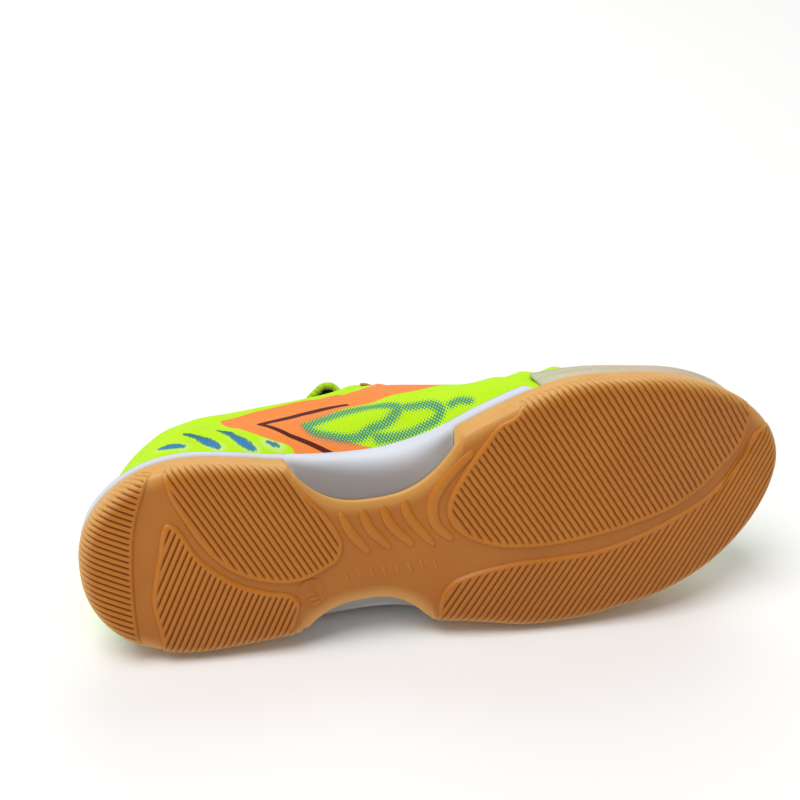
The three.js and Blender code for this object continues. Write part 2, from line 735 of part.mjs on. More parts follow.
// The tongue lies under the throat's edges, then narrows and spreads its wings over the collar.
function tongueLine({ at, half, lift, drop }) {
  const line = []
  for (let i = -tongueSteps; i <= tongueSteps; i += 1) {
    const share = i / tongueSteps
    const side = i < 0 ? 'medial' : 'lateral'
    const across = Math.abs(share) * half * tongueHalfWidth
    const point = lastPoint(side, at, riseAcross(side, at, across))
    if (lift > 0) {
      point.copy(lastPoint(side, at, 1))
      point.y += share * half * tongueHalfWidth
      point.z += instepHeight * (lift - drop * share ** 2)
    }
    line.push(point)
  }
  return line
}

function tongue() {
  const lines = tongueRows.map(tongueLine)
  const outer = -(wall + tongueClearance)
  return sheet(makeSkin([{ side: 'lateral', lines }]), outer - tongueThickness, outer)
}

// One bar of the lace, laid over the throat from one eyelet to another
function laceBar(start, end) {
  const lift = pieceGap + eyestayThickness + laceClearance + laceThickness / 2
  const from = (start.side === 'medial' ? -1 : 1) * (throatGap(start.at) + eyeletSetback)
  const to = (end.side === 'medial' ? -1 : 1) * (throatGap(end.at) + eyeletSetback)
  const places = []
  for (let i = 0; i <= laceSteps; i += 1) {
    const at = THREE.MathUtils.lerp(start.at, end.at, i / laceSteps)
    const across = THREE.MathUtils.lerp(from, to, i / laceSteps)
    const side = across < 0 ? 'medial' : 'lateral'
    const rise = riseAcross(side, at, Math.abs(across))
    const outward = lastOutward(side, at, Math.min(rise, 0.99))
    places.push({ centre: lastPoint(side, at, rise).addScaledVector(outward, lift), outward })
  }
  const sections = places.map(({ centre, outward }, i) => {
    const ahead = places[Math.min(i + 1, laceSteps)].centre
    const behind = places[Math.max(i - 1, 0)].centre
    const sideways = ahead.clone().sub(behind).cross(outward).normalize()
    return [[-1, -1], [-1, 1], [1, 1], [1, -1]].map(([u, v]) =>
      centre
        .clone()
        .addScaledVector(sideways, (u * laceWidth) / 2)
        .addScaledVector(outward, (v * laceThickness) / 2)
    )
  })
  return toSolid(loft(sections, true))
}

function laceCrossings() {
  const bars = [laceBar({ side: 'medial', at: eyeletShares[0] }, { side: 'lateral', at: eyeletShares[0] })]
  for (let i = 0; i + 1 < eyeletShares.length; i += 1) {
    const [near, far] = [eyeletShares[i], eyeletShares[i + 1]]
    bars.push(laceBar({ side: 'medial', at: near }, { side: 'lateral', at: far }))
    bars.push(laceBar({ side: 'lateral', at: near }, { side: 'medial', at: far }))
  }
  return toGeometry(wasm.Manifold.union(bars))
}

const pieces = [
  { name: 'outsole', geometry: outsole(), colour: colours.gum, roughness: 0.5, density: 1.1 },
  { name: 'midsole', geometry: midsole(), colour: colours.midsole, roughness: 0.55, density: 0.3 },
  { name: 'upper', geometry: upper(), colour: colours.knit, roughness: 0.85, density: 0.6 },
  { name: 'tongue', geometry: tongue(), colour: colours.knit, roughness: 0.9, density: 0.3 },
  { name: 'insole', geometry: insole(), colour: colours.lining, roughness: 0.9, density: 0.25 },
  { name: 'toe_guard', geometry: toeGuard(), colour: colours.film, roughness: 0.4, density: 1.1 },
  { name: 'eyestay', geometry: eyestay(), colour: colours.eyestay, roughness: 0.6, density: 1 },
  { name: 'lace_crossings', geometry: laceCrossings(), colour: colours.lace, roughness: 0.9, density: 0.5 }
]

// Volume and first moment of a closed geometry, summed over the pyramids under its triangles
function volumeAndMoment(geometry) {
  const index = geometry.getIndex().array
  const position = geometry.getAttribute('position')
  const vertex = (k) => new THREE.Vector3().fromBufferAttribute(position, index[k])
  const moment = new THREE.Vector3()
  let volume = 0
  for (let k = 0; k < index.length; k += 3) {
    const [a, b, c] = [vertex(k), vertex(k + 1), vertex(k + 2)]
    const share = a.dot(b.clone().cross(c)) / 6
    volume += share
    moment.addScaledVector(a.add(b).add(c), share / 4)
  }
  return { volume, moment }
}

function balancePoint() {
  const sum = new THREE.Vector3()
  let mass = 0
  for (const { geometry, density } of pieces) {
    const { volume, moment } = volumeAndMoment(geometry)
    sum.addScaledVector(moment, density)
    mass += volume * density
  }
  return sum.divideScalar(mass)
}

// The face of the shoe's hull that carries it when it lies on its lateral side
function restingDirection() {
  const corners = pieces.flatMap(({ geometry }) => {
    const position = geometry.getAttribute('position')
    const numbers = Array.from({ length: position.count }, (_, k) => k)
    return numbers.map((k) => new THREE.Vector3().fromBufferAttribute(position, k))
  })
  const centre = balancePoint()
  const onSide = new ConvexHull().setFromPoints(corners).faces.filter((face) => face.normal.y > 0.8)
  const carries = (face) => {
    const foot = centre.clone().addScaledVector(face.normal, -face.distanceToPoint(centre))
    const tips = [face.edge.head().point, face.edge.next.head().point, face.edge.next.next.head().point]
    return new THREE.Triangle(...tips).containsPoint(foot)
  }
  return onSide.find(carries).normal
}

const shoe = new THREE.Group()
for (const { name, geometry, colour, roughness } of pieces) {
  const material = new THREE.MeshStandardMaterial({ color: colour, roughness, metalness: 0 })
  const mesh = new THREE.Mesh(geometry, material)
  mesh.name = name
  shoe.add(mesh)
}

// Lay the shoe down: its resting face turns to the floor and its toe keeps pointing along X.
const up = restingDirection().clone().negate()
const toeward = new THREE.Vector3(1, 0, 0).projectOnPlane(up).normalize()
const across = new THREE.Vector3().crossVectors(up, toeward)
shoe.quaternion.setFromRotationMatrix(new THREE.Matrix4().makeBasis(toeward, across, up).transpose())
const floor = new THREE.Group()
floor.add(shoe)
floor.updateMatrixWorld(true)
const bounds = new THREE.Box3().setFromObject(shoe, true)
const middle = bounds.getCenter(new THREE.Vector3())
shoe.position.set(-middle.x, -middle.y, -bounds.min.z)

export default floor
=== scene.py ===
import math

import bmesh
import bpy
import numpy as np
from mathutils import Matrix, Vector


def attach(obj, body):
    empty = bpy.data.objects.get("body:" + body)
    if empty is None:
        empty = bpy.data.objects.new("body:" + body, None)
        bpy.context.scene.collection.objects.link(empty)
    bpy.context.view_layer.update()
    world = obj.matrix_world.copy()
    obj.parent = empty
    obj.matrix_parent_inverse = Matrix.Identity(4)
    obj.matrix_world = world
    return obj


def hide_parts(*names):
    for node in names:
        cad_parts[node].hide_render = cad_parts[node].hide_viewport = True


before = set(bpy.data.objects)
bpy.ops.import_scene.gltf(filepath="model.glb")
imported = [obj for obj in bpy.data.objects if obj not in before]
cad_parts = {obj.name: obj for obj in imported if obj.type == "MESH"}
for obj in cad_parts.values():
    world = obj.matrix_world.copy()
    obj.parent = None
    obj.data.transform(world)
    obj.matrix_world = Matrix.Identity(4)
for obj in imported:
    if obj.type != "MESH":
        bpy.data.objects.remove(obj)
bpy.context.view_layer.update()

# Driving sizes in millimetres, in the shoe's own frame: X from heel to toe, Y to the lateral side, Z up
SOLE = 280.0
BALL = 100.0
INSTEP = 100.0
SPRING = 14.0
ARCH_RISE = 2.0
HEEL_BEVEL = 2.0
GAP = 0.3
WALL_HEEL, WALL_TOE, WALL_THICK, WALL_DRAFT = 12.0, 13.5, 3.0, 1.0
GUM_FLOOR, EDGE_ROUND, CHANNEL = 4.0, 6.0, 1.2
POD_WRAP, WRAP_SHARE = 5.5, 0.55
BAND_HEEL, BAND_BALL, BAND_INSET = 6.0, 8.0, 0.8
RIM_WIDTH, RIM_SLANT = 3.0, 0.2
FOOTBED_HEEL, FOOTBED_TOE = 15.0, 9.0
KNIT_WALL = 2.0
THROAT_TOP_GAP, THROAT_TOE_GAP = 17.0, 11.0
TONGUE_HALF, TONGUE_THICK, TONGUE_CLEAR = 27.0, 3.5, 1.0
INSOLE_THICK = 4.0
EYELET_SETBACK = 8.0
LACE_WIDTH, LACE_THICK, LACE_CLEAR = 6.0, 1.4, 1.3
STAY_THICK, GUARD_THICK = 1.0, 0.9

# Shares of the length where the parts begin and end
HEEL_ROUND, TOE_ROUND = 0.147, 0.732
SPRING_START, ARCH_START, ARCH_END = 0.7, 0.27, 0.56
BAND_FADE = (0.6, 0.63)
UPPER_HEEL, UPPER_TOE = 0.13, 0.8
THROAT_START, THROAT_TOP, THROAT_END = 0.3, 0.4, 0.67
GUARD_START = 0.632
EYELETS = [0.63, 0.58, 0.53, 0.48, 0.435]

# The sole's plan: share of the length, then the medial and the lateral edge as shares of the ball's width
SOLE_PLAN = np.array([
    (0.0, -0.33, 0.385), (0.147, -0.346, 0.404), (0.204, -0.328, 0.399), (0.262, -0.3, 0.39),
    (0.358, -0.272, 0.398), (0.412, -0.274, 0.408), (0.47, -0.312, 0.43), (0.53, -0.388, 0.458),
    (0.59, -0.45, 0.495), (0.65, -0.494, 0.503), (0.7, -0.499, 0.495), (0.745, -0.492, 0.477),
    (1.0, -0.485, 0.47)])
MIDDLE = (0.029, -0.03)
# Where the gum is cut back at the arch: centre, reach, half length and opening
ARCH_CUT = {"medial": (0.378, 0.13, 0.132, 0.27), "lateral": (0.361, 0.28, 0.084, 0.1)}
ARCH_POWER = 2.6
# The last: share of the length, medial and lateral girth, its height, the ridge's place and height, roundness
LAST = np.array([
    (0.0, -0.33, 0.34, 0.34, 0.01, 0.72, 1), (0.08, -0.33, 0.35, 0.35, 0.01, 0.75, 1),
    (0.125, -0.33, 0.352, 0.36, 0.01, 0.81, 1), (0.19, -0.33, 0.353, 0.37, 0, 0.93, 1),
    (0.24, -0.332, 0.352, 0.38, 0, 1.05, 1), (0.3, -0.33, 0.35, 0.42, 0, 1.1, 0.95),
    (0.38, -0.34, 0.345, 0.45, -0.01, 1.02, 0.85), (0.457, -0.365, 0.37, 0.46, -0.02, 0.9, 0.95),
    (0.521, -0.39, 0.405, 0.39, -0.03, 0.77, 1), (0.555, -0.4, 0.425, 0.35, -0.03, 0.7, 0.98),
    (0.592, -0.43, 0.445, 0.31, -0.04, 0.635, 0.96), (0.675, -0.465, 0.47, 0.27, -0.05, 0.53, 0.92),
    (0.736, -0.465, 0.46, 0.26, -0.06, 0.475, 0.9), (0.83, -0.44, 0.42, 0.24, -0.06, 0.425, 0.88),
    (1.0, -0.42, 0.4, 0.2, -0.05, 0.37, 0.88)])
HEEL_BULGE, BULGE_HEIGHT, HEEL_LEAN = 7.0, 32.0, 0.0045
HEEL_SET = 5.0  # the knit's heel, further forward than the solid's
TOE_SETBACK, TOE_POWER = 7.0, 0.7
COLLAR = np.array([
    (0.0, 0.64), (0.1, 0.64), (0.19, 0.62), (0.25, 0.63), (0.31, 0.66), (0.36, 0.7), (0.4, 0.86), (0.44, 1.06)])
# The tongue's rows from root to tip: share, half width, lift off the last and drop of its wings
TONGUE_ROWS = np.array([
    (0.72, 0.75, 0, 0), (0.67, 0.85, 0, 0), (0.61, 0.9, 0, 0), (0.55, 0.9, 0, 0), (0.49, 0.85, 0, 0),
    (0.445, 0.6, 0, 0), (0.405, 0.55, 0.035, 0.05), (0.37, 0.76, 0.07, 0.11), (0.337, 0.9, 0.08, 0.14),
    (0.305, 0.92, 0.06, 0.13), (0.287, 0.84, 0.03, 0.12), (0.277, 0.6, 0.015, 0.08)])
SIGN = {"medial": -1.0, "lateral": 1.0}
COLUMN = {"medial": 1, "lateral": 2}


def smooth(at, start, end):
    t = np.clip((np.asarray(at, float) - start) / (end - start), 0, 1)
    return t * t * (3 - 2 * t)


def mix(a, b, t):
    return a + (b - a) * t


def table_value(table, column, at):
    """Smooth value of one column of a table at a share of the length."""
    keys, values = table[:, 0], table[:, column]
    last = len(keys) - 1
    at = np.clip(np.asarray(at, float), keys[0], keys[-1])
    row = np.clip(np.searchsorted(keys, at, side="right") - 1, 0, last - 1)
    before = np.maximum(np.arange(last + 1) - 1, 0)
    after = np.minimum(np.arange(last + 1) + 1, last)
    slope = (values[after] - values[before]) / (keys[after] - keys[before])
    step = keys[row + 1] - keys[row]
    t = (at - keys[row]) / step
    rise = values[row] * (2 * t**3 - 3 * t**2 + 1) + values[row + 1] * (3 * t**2 - 2 * t**3)
    return rise + step * (slope[row] * (t**3 - 2 * t**2 + t) + slope[row + 1] * (t**3 - t**2))


def rounded_shares(ends, middle, heel_end, toe_start):
    """Shares of the length that crowd together where both ends turn round."""
    turn = np.arange(ends) / ends * math.pi / 2
    heel = heel_end * (1 - np.cos(turn))
    straight = np.linspace(heel_end, toe_start, middle + 1)
    toe = toe_start + (1 - toe_start) * np.sin(np.arange(1, ends + 1) / ends * math.pi / 2)
    return np.concatenate([heel, straight, toe])


def end_fullness(at, heel_end, toe_start, heel_power, toe_power):
    heel = np.clip(1 - at / heel_end, 0, 1)
    toe = np.clip((at - toe_start) / (1 - toe_start), 0, 1)
    return (1 - heel**heel_power) ** (1 / heel_power) * (1 - toe**toe_power) ** (1 / toe_power)


def tread(at):
    bevel = HEEL_BEVEL * np.clip(1 - at / 0.05, 0, None) ** 2
    arch = ARCH_RISE * np.sin(math.pi * np.clip((at - ARCH_START) / (ARCH_END - ARCH_START), 0, 1)) ** 2
    return bevel + arch + SPRING * np.clip((at - SPRING_START) / (1 - SPRING_START), 0, None) ** 2


def wide_plan(side, at):
    middle = mix(MIDDLE[0], MIDDLE[1], at)
    fullness = end_fullness(at, HEEL_ROUND, TOE_ROUND, 2.2, 1.85)
    return BALL * (middle + (table_value(SOLE_PLAN, COLUMN[side], at) - middle) * fullness)


def gum_plan(side, at):
    centre, reach, half, opening = ARCH_CUT[side]
    edge = BALL * (reach + opening * (np.abs(at - centre) / half) ** ARCH_POWER)
    return SIGN[side] * np.minimum(SIGN[side] * wide_plan(side, at), edge)


def plan_point(plan, side, at, inset):
    """Points of a plan, moved square to its edge by the inset."""
    before, after = np.clip(at - 0.0008, 0, 1), np.clip(at + 0.0008, 0, 1)
    along_x = (after - before) * SOLE
    along_y = plan(side, after) - plan(side, before)
    out = np.stack([-SIGN[side] * along_y, SIGN[side] * along_x], -1)
    out /= np.linalg.norm(out, axis=-1, keepdims=True)
    # Between the round ends the inset runs straight across, so that rows never fold over each other
    straight = (smooth(at, 0.1, 0.15) * (1 - smooth(at, 0.68, 0.76)))[:, None]
    lean = np.minimum(1 / np.maximum(np.abs(out[:, 1]), 1e-6), 1.5)
    out = mix(out, np.column_stack([np.zeros_like(at), SIGN[side] * lean]), straight)
    out[at <= 0] = (-1, 0)
    out[at >= 1] = (1, 0)
    flat = np.stack([at * SOLE, plan(side, at)], -1)
    return flat - out * np.asarray(inset, float).reshape(-1, 1)


def corner(plan, side, at, inset, height):
    flat = plan_point(plan, side, at, np.broadcast_to(inset, at.shape))
    return np.column_stack([flat, tread(flat[:, 0] / SOLE) + height])


def wall_top(at):
    return mix(WALL_HEEL, WALL_TOE, smooth(at, 0.5, 0.8))


def wall_height(side, at):
    """Height of the gum's wall, which slopes away where the gum is cut back."""
    cut = np.abs(gum_plan(side, at) - wide_plan(side, at))
    return mix(wall_top(at), GUM_FLOOR, smooth(cut, 0.2, 3.2))


def footbed(at):
    return mix(FOOTBED_HEEL, FOOTBED_TOE, smooth(at, 0.46, 0.75))


def rim_height(at):
    band = mix(BAND_HEEL, BAND_BALL, smooth(at, 0.15, 0.5))
    return mix(WALL_HEEL + band, footbed(at), smooth(at, *BAND_FADE))


def lengthwise(at, height):
    return mix(HEEL_BULGE + HEEL_LEAN * (height - BULGE_HEIGHT) ** 2, SOLE - TOE_SETBACK, at)


def last_point(side, at, rise):
    """The last as one closed form: rise is 0 at the fullest girth and 1 on the ridge."""
    at, rise = np.broadcast_arrays(np.asarray(at, float), np.asarray(rise, float))
    fullness = end_fullness(at, UPPER_HEEL, UPPER_TOE, 1.8, 2.0)
    crown = np.where(at > UPPER_TOE, fullness**TOE_POWER, 1.0)
    middle = mix(MIDDLE[0], table_value(LAST, 4, at), np.minimum(at / UPPER_HEEL, 1))
    wide_y = middle + (table_value(LAST, COLUMN[side], at) - middle) * fullness
    wide_z = table_value(LAST, 3, at)
    ridge_z = wide_z + (table_value(LAST, 5, at) - wide_z) * crown
    roundness = table_value(LAST, 6, at)
    turn = math.pi / 2 * rise
    y = BALL * (middle + (wide_y - middle) * np.clip(np.cos(turn), 0, 1) ** roundness)
    z = INSTEP * (wide_z + (ridge_z - wide_z) * np.clip(np.sin(turn), 0, 1) ** roundness)
    return np.stack([lengthwise(at, z), y, z + tread(at)], -1)


def throat_gap(at):
    share = (THROAT_END - at) / (THROAT_END - THROAT_TOP)
    gap = mix(THROAT_TOE_GAP, THROAT_TOP_GAP, share) * np.sqrt(np.clip(share * 6, 0, 1))
    return np.where((at < THROAT_START) | (at >= THROAT_END), 0, gap)


def rise_across(side, at, distance):
    """The rise at which the section is a given distance from its ridge."""
    at = np.atleast_1d(np.asarray(at, float))
    distance = np.broadcast_to(distance, at.shape)
    ridge = last_point(side, at, 1.0)[..., 1]
    low, high = np.zeros_like(at), np.ones_like(at)
    for _ in range(30):
        middle = (low + high) / 2
        further = np.abs(last_point(side, at, middle)[..., 1] - ridge) > distance
        low, high = np.where(further, middle, low), np.where(further, high, middle)
    return low


def top_rise(side, at):
    """The rise of the upper's top edge: the collar's line, then the throat's edge, then the ridge."""
    rise = np.where(at < THROAT_END, rise_across(side, at, throat_gap(at)), 1.0)
    collar = INSTEP * table_value(COLLAR, 1, at)
    low, high = np.zeros_like(at), np.ones_like(at)
    for _ in range(30):
        middle = (low + high) / 2
        above = last_point(side, at, middle)[..., 2] > collar
        low, high = np.where(above, low, middle), np.where(above, middle, high)
    return np.where(at < COLLAR[-1, 0], np.minimum(rise, low), rise)


def upper_lines(side, at, low_rows, crown_rows):
    """Lines up the side of the upper: from the lasting edge past the fullest girth to the top edge."""
    inset = BAND_INSET + RIM_WIDTH + 2 * RIM_SLANT + 1.6 * GAP
    rim = np.maximum(rim_height(at), wall_top(at)) + 2 * GAP
    foot = corner(wide_plan, side, at, inset, footbed(at) + GAP)
    shoulder = corner(wide_plan, side, at, inset, rim)
    wide = last_point(side, at, 0.0)
    rows = [foot, (foot + shoulder) / 2]
    for share in np.linspace(0, 1, low_rows):
        bend = mix(shoulder, wide, math.sin(math.pi / 2 * share))
        bend[:, 2] = mix(shoulder[:, 2], wide[:, 2], share)
        rows.append(bend)
    top = top_rise(side, at)
    for step in np.linspace(0, 1, crown_rows + 1)[1:]:
        rows.append(last_point(side, at, top * step))
    lines = np.stack(rows, 1)
    # The knit's heel leans forward above the band, as the photograph's outline shows
    lines[..., 0] += HEEL_SET * smooth(lines[..., 2], 23.0, 40.0) * smooth(lines[..., 0], 62.0, 6.0)
    return lines


# How the shoe lies on the floor: its axes and its heel's place in the row frame
LAY = np.array([
    (0.9975758, 0.0680982, 0.0143199),
    (0.0, -0.2057821, 0.9785978),
    (0.0695875, -0.9762256, -0.2052832)])
LAY_PLACE = np.array([-139.7073472, -51.1414582, 40.0711449])


def to_row(points):
    """Shoe millimetres to the row frame's metres."""
    return (np.asarray(points, float) @ LAY.T + LAY_PLACE) / 1000


def turn_row(directions):
    return np.asarray(directions, float) @ LAY.T


def add_mesh(name, points, faces, materials, attributes=None, face_slots=None):
    """A mesh object in the row frame; faces are rows of three or four vertex numbers."""
    points = np.asarray(points, float)
    mesh = bpy.data.meshes.new(name)
    mesh.from_pydata(to_row(points).tolist(), [], [list(face) for face in faces])
    mesh.validate()
    mesh.shade_smooth()
    for material in materials:
        mesh.materials.append(material)
    layer = mesh.attributes.new("place", "FLOAT_VECTOR", "POINT")
    layer.data.foreach_set("vector", points.astype(np.float32).ravel())
    for key, values in (attributes or {}).items():
        layer = mesh.attributes.new(key, "FLOAT", "POINT")
        layer.data.foreach_set("value", np.asarray(values, np.float32).ravel())
    if face_slots is not None and len(face_slots) == len(mesh.polygons):
        mesh.polygons.foreach_set("material_index", np.asarray(face_slots, np.int32))
    mesh.update()
    piece = bpy.data.objects.new(name, mesh)
    bpy.context.scene.collection.objects.link(piece)
    return piece


def clean_faces(faces):
    """Rows of vertex numbers without repeats, as lists."""
    kept = []
    for face in faces:
        row = list(dict.fromkeys(face))
        if len(row) > 2:
            kept.append(row)
    return kept


def grid_faces(rows, columns, wrap=False, start=0, flip=False):
    """Quads over a grid of rows times columns of points."""
    i, j = np.meshgrid(np.arange(rows - 1), np.arange(columns if wrap else columns - 1), indexing="ij")
    nxt = (j + 1) % columns
    quads = np.stack([i * columns + j, i * columns + nxt, (i + 1) * columns + nxt, (i + 1) * columns + j], -1)
    quads = quads.reshape(-1, 4) + start
    return quads[:, ::-1] if flip else quads


def ring_solid(name, sections, materials, attributes=None):
    """A closed skin over rings of equal length whose first and last are flat caps."""
    count, size = sections.shape[:2]
    faces = [list(face) for face in grid_faces(count, size, wrap=True, flip=True)]
    faces.append(list(range(size)))
    faces.append(list(range((count - 1) * size, count * size))[::-1])
    return add_mesh(name, sections.reshape(-1, 3), clean_faces(faces), materials, attributes)


def stations(ends=26, middle=170):
    return rounded_shares(ends, middle, HEEL_ROUND, TOE_ROUND)


def sole_sections(corners, at):
    """Rings of a sole layer: its corners on the medial side, then those on the lateral side."""
    medial = corners("medial", at)
    lateral = corners("lateral", at)
    return np.concatenate([medial[:, ::-1], lateral], 1)


def catmull(points, count, closed=False):
    """A smooth centripetal curve through plan points, as evenly counted points."""
    points = [np.asarray(p, float) for p in points]
    if closed:
        control = [points[-1], *points, points[0], points[1]]
    else:
        control = [2 * points[0] - points[1], *points, 2 * points[-1] - points[-2]]
    result = []
    spans = len(control) - 3
    for k in range(spans):
        a, b, c, d = control[k:k + 4]
        t0 = 0.0
        t1 = t0 + max(np.linalg.norm(b - a), 1e-6) ** 0.5
        t2 = t1 + max(np.linalg.norm(c - b), 1e-6) ** 0.5
        t3 = t2 + max(np.linalg.norm(d - c), 1e-6) ** 0.5
        for t in np.linspace(t1, t2, count, endpoint=False):
            ab = (a * (t1 - t) + b * (t - t0)) / (t1 - t0)
            bc = (b * (t2 - t) + c * (t - t1)) / (t2 - t1)
            cd = (c * (t3 - t) + d * (t - t2)) / (t3 - t2)
            abc = (ab * (t2 - t) + bc * (t - t0)) / (t2 - t0)
            bcd = (bc * (t3 - t) + cd * (t - t1)) / (t3 - t1)
            result.append((abc * (t2 - t) + bcd * (t - t1)) / (t2 - t1))
    if not closed:
        result.append(points[-1])
    return np.array(result)


# The gum's outline, and the round edge from the tread up onto its side
OUTLINE_AT = rounded_shares(150, 420, HEEL_ROUND, TOE_ROUND)
OUTLINE = np.concatenate([
    np.column_stack([OUTLINE_AT * SOLE, gum_plan("medial", OUTLINE_AT)]),
    np.column_stack([OUTLINE_AT * SOLE, gum_plan("lateral", OUTLINE_AT)])[::-1][1:-1]])
OUTLINE_TANGENT = np.roll(OUTLINE, -1, 0) - np.roll(OUTLINE, 1, 0)
OUTLINE_NORMAL = np.column_stack([OUTLINE_TANGENT[:, 1], -OUTLINE_TANGENT[:, 0]])
OUTLINE_NORMAL /= np.linalg.norm(OUTLINE_NORMAL, axis=1, keepdims=True)

CURVE_T = np.linspace(0, 1, 60)
CURVE = np.column_stack([EDGE_ROUND * (1 - CURVE_T) ** 2, POD_WRAP * CURVE_T**2])
CURVE_ARC = np.concatenate([[0], np.cumsum(np.linalg.norm(np.diff(CURVE, axis=0), axis=1))])
CURVE_DIRECTION = np.column_stack([EDGE_ROUND * (1 - CURVE_T), POD_WRAP * CURVE_T])
CURVE_DIRECTION /= np.linalg.norm(CURVE_DIRECTION, axis=1, keepdims=True)


def nearest_edge(points):
    """Nearest place of the gum's outline, its outward direction, and how far inside it each point is."""
    place = np.empty_like(points)
    normal = np.empty_like(points)
    for start in range(0, len(points), 4000):
        part = points[start:start + 4000]
        distance = ((part[:, None] - OUTLINE[None]) ** 2).sum(-1)
        nearest = distance.argmin(1)
        place[start:start + 4000] = OUTLINE[nearest]
        normal[start:start + 4000] = OUTLINE_NORMAL[nearest]
    inset = -((points - place) * normal).sum(1)
    return place, normal, inset


def on_gum(points, depth):
    """Plan points, unrolled past the edge, laid on the gum at a depth under its tread."""
    points = np.asarray(points, float)
    _, normal, inset = nearest_edge(points)
    arc = np.clip(EDGE_ROUND - inset, 0, None)
    past = np.clip(arc - CURVE_ARC[-1], 0, None)
    profile_inset = np.interp(arc, CURVE_ARC, CURVE[:, 0])
    height = np.interp(arc, CURVE_ARC, CURVE[:, 1]) + past
    out = np.interp(arc, CURVE_ARC, CURVE_DIRECTION[:, 1])
    down = np.interp(arc, CURVE_ARC, CURVE_DIRECTION[:, 0])
    flat = arc <= 0
    move = np.where(flat, 0, inset - profile_inset)
    out = np.where(flat, 0, out)
    down = np.where(flat, 1, down)
    plan = points + normal * (move - out * depth)[:, None]
    height = np.where(flat, 0, height) + down * depth
    return np.column_stack([plan, tread(np.clip(plan[:, 0] / SOLE, 0, 1)) + height])


def inside_polygon(points, polygon):
    x, y = points[:, 0], points[:, 1]
    result = np.zeros(len(points), bool)
    a, b = polygon, np.roll(polygon, -1, 0)
    for (ax, ay), (bx, by) in zip(a, b):
        if ay == by:
            continue
        crosses = (ay > y) != (by > y)
        result ^= crosses & (x < (bx - ax) * (y - ay) / (by - ay) + ax)
    return result


def edge_distance(points, polygon):
    """Distance from points to the nearest side of a closed polygon."""
    best = np.full(len(points), 1e9)
    a, b = polygon, np.roll(polygon, -1, 0)
    for p, q in zip(a, b):
        d = q - p
        t = np.clip(((points - p) @ d) / max(d @ d, 1e-9), 0, 1)
        best = np.minimum(best, np.hypot(*(points - p - t[:, None] * d).T))
    return best


# Plans of the tread pods: points are shares of the sole's length and of the ball's width.
PODS = {
    "heel_crescent": [
        (0.1, -0.36), (0.093, -0.3), (0.073, -0.13), (0.064, 0.1), (0.064, 0.3), (0.07, 0.42), (-0.06, 0.52),
        (-0.1, 0.1), (-0.06, -0.46)],
    "heel_medial": [
        (0.115, -0.45), (0.112, -0.28), (0.129, -0.15), (0.15, -0.034), (0.171, 0.043), (0.196, 0.102),
        (0.246, 0.156), (0.275, 0.159), (0.3, 0.137), (0.329, 0.092), (0.336, 0.03), (0.325, -0.059),
        (0.304, -0.145), (0.282, -0.24), (0.264, -0.32), (0.262, -0.45)],
    "heel_lateral": [
        (0.09, 0.5), (0.088, 0.31), (0.082, 0.16), (0.095, -0.02), (0.108, -0.14), (0.122, -0.134),
        (0.15, 0.006), (0.171, 0.071), (0.196, 0.126), (0.232, 0.174), (0.264, 0.202), (0.275, 0.25),
        (0.268, 0.32), (0.257, 0.5)],
    "forefoot_medial": [
        (0.577, -0.6), (0.571, -0.418), (0.546, -0.379), (0.521, -0.29), (0.5, -0.209), (0.478, -0.09),
        (0.478, -0.01), (0.493, 0.052), (0.536, 0.117), (0.579, 0.143), (0.625, 0.152), (0.711, 0.13),
        (0.757, 0.106), (0.807, 0.073), (0.854, 0.012), (0.886, -0.057), (0.918, -0.133), (0.932, -0.21),
        (0.94, -0.42), (0.8, -0.66)],
    "forefoot_lateral": [
        (0.464, 0.62), (0.464, 0.36), (0.47, 0.29), (0.486, 0.247), (0.521, 0.215), (0.579, 0.195),
        (0.64, 0.197), (0.7, 0.19), (0.761, 0.151), (0.821, 0.095), (0.871, 0.036), (0.904, -0.033),
        (0.929, -0.105), (0.943, -0.183), (1.03, -0.22), (1.05, 0.1), (0.95, 0.62)],
}
# The grooves of each pod: the ribs' direction in plan in degrees, pitch, depth, width share, margin, wave
# and how far the pod runs up the side
GROOVES = {
    "heel_crescent": (28.0, 2.15, 0.75, 0.44, 1.8, 0.0, 9.5),
    "heel_medial": (62.0, 2.2, 0.75, 0.42, 2.4, 0.0, 5.2),
    "heel_lateral": (-64.0, 2.2, 0.8, 0.44, 2.2, 0.0, 6.5),
    "forefoot_medial": (57.0, 2.37, 0.75, 0.45, 2.4, 0.12, 7.5),
    "forefoot_lateral": (-56.0, 2.5, 0.75, 0.44, 2.2, 0.0, 6.5),
}


# The waviness of the ribs: its length in millimetres and its turn from one rib to the next
WAVE_LENGTH, WAVE_SHIFT = 5.2, 2.1
# How far a pod's back lies under the channel's floor
POD_SINK = 0.6


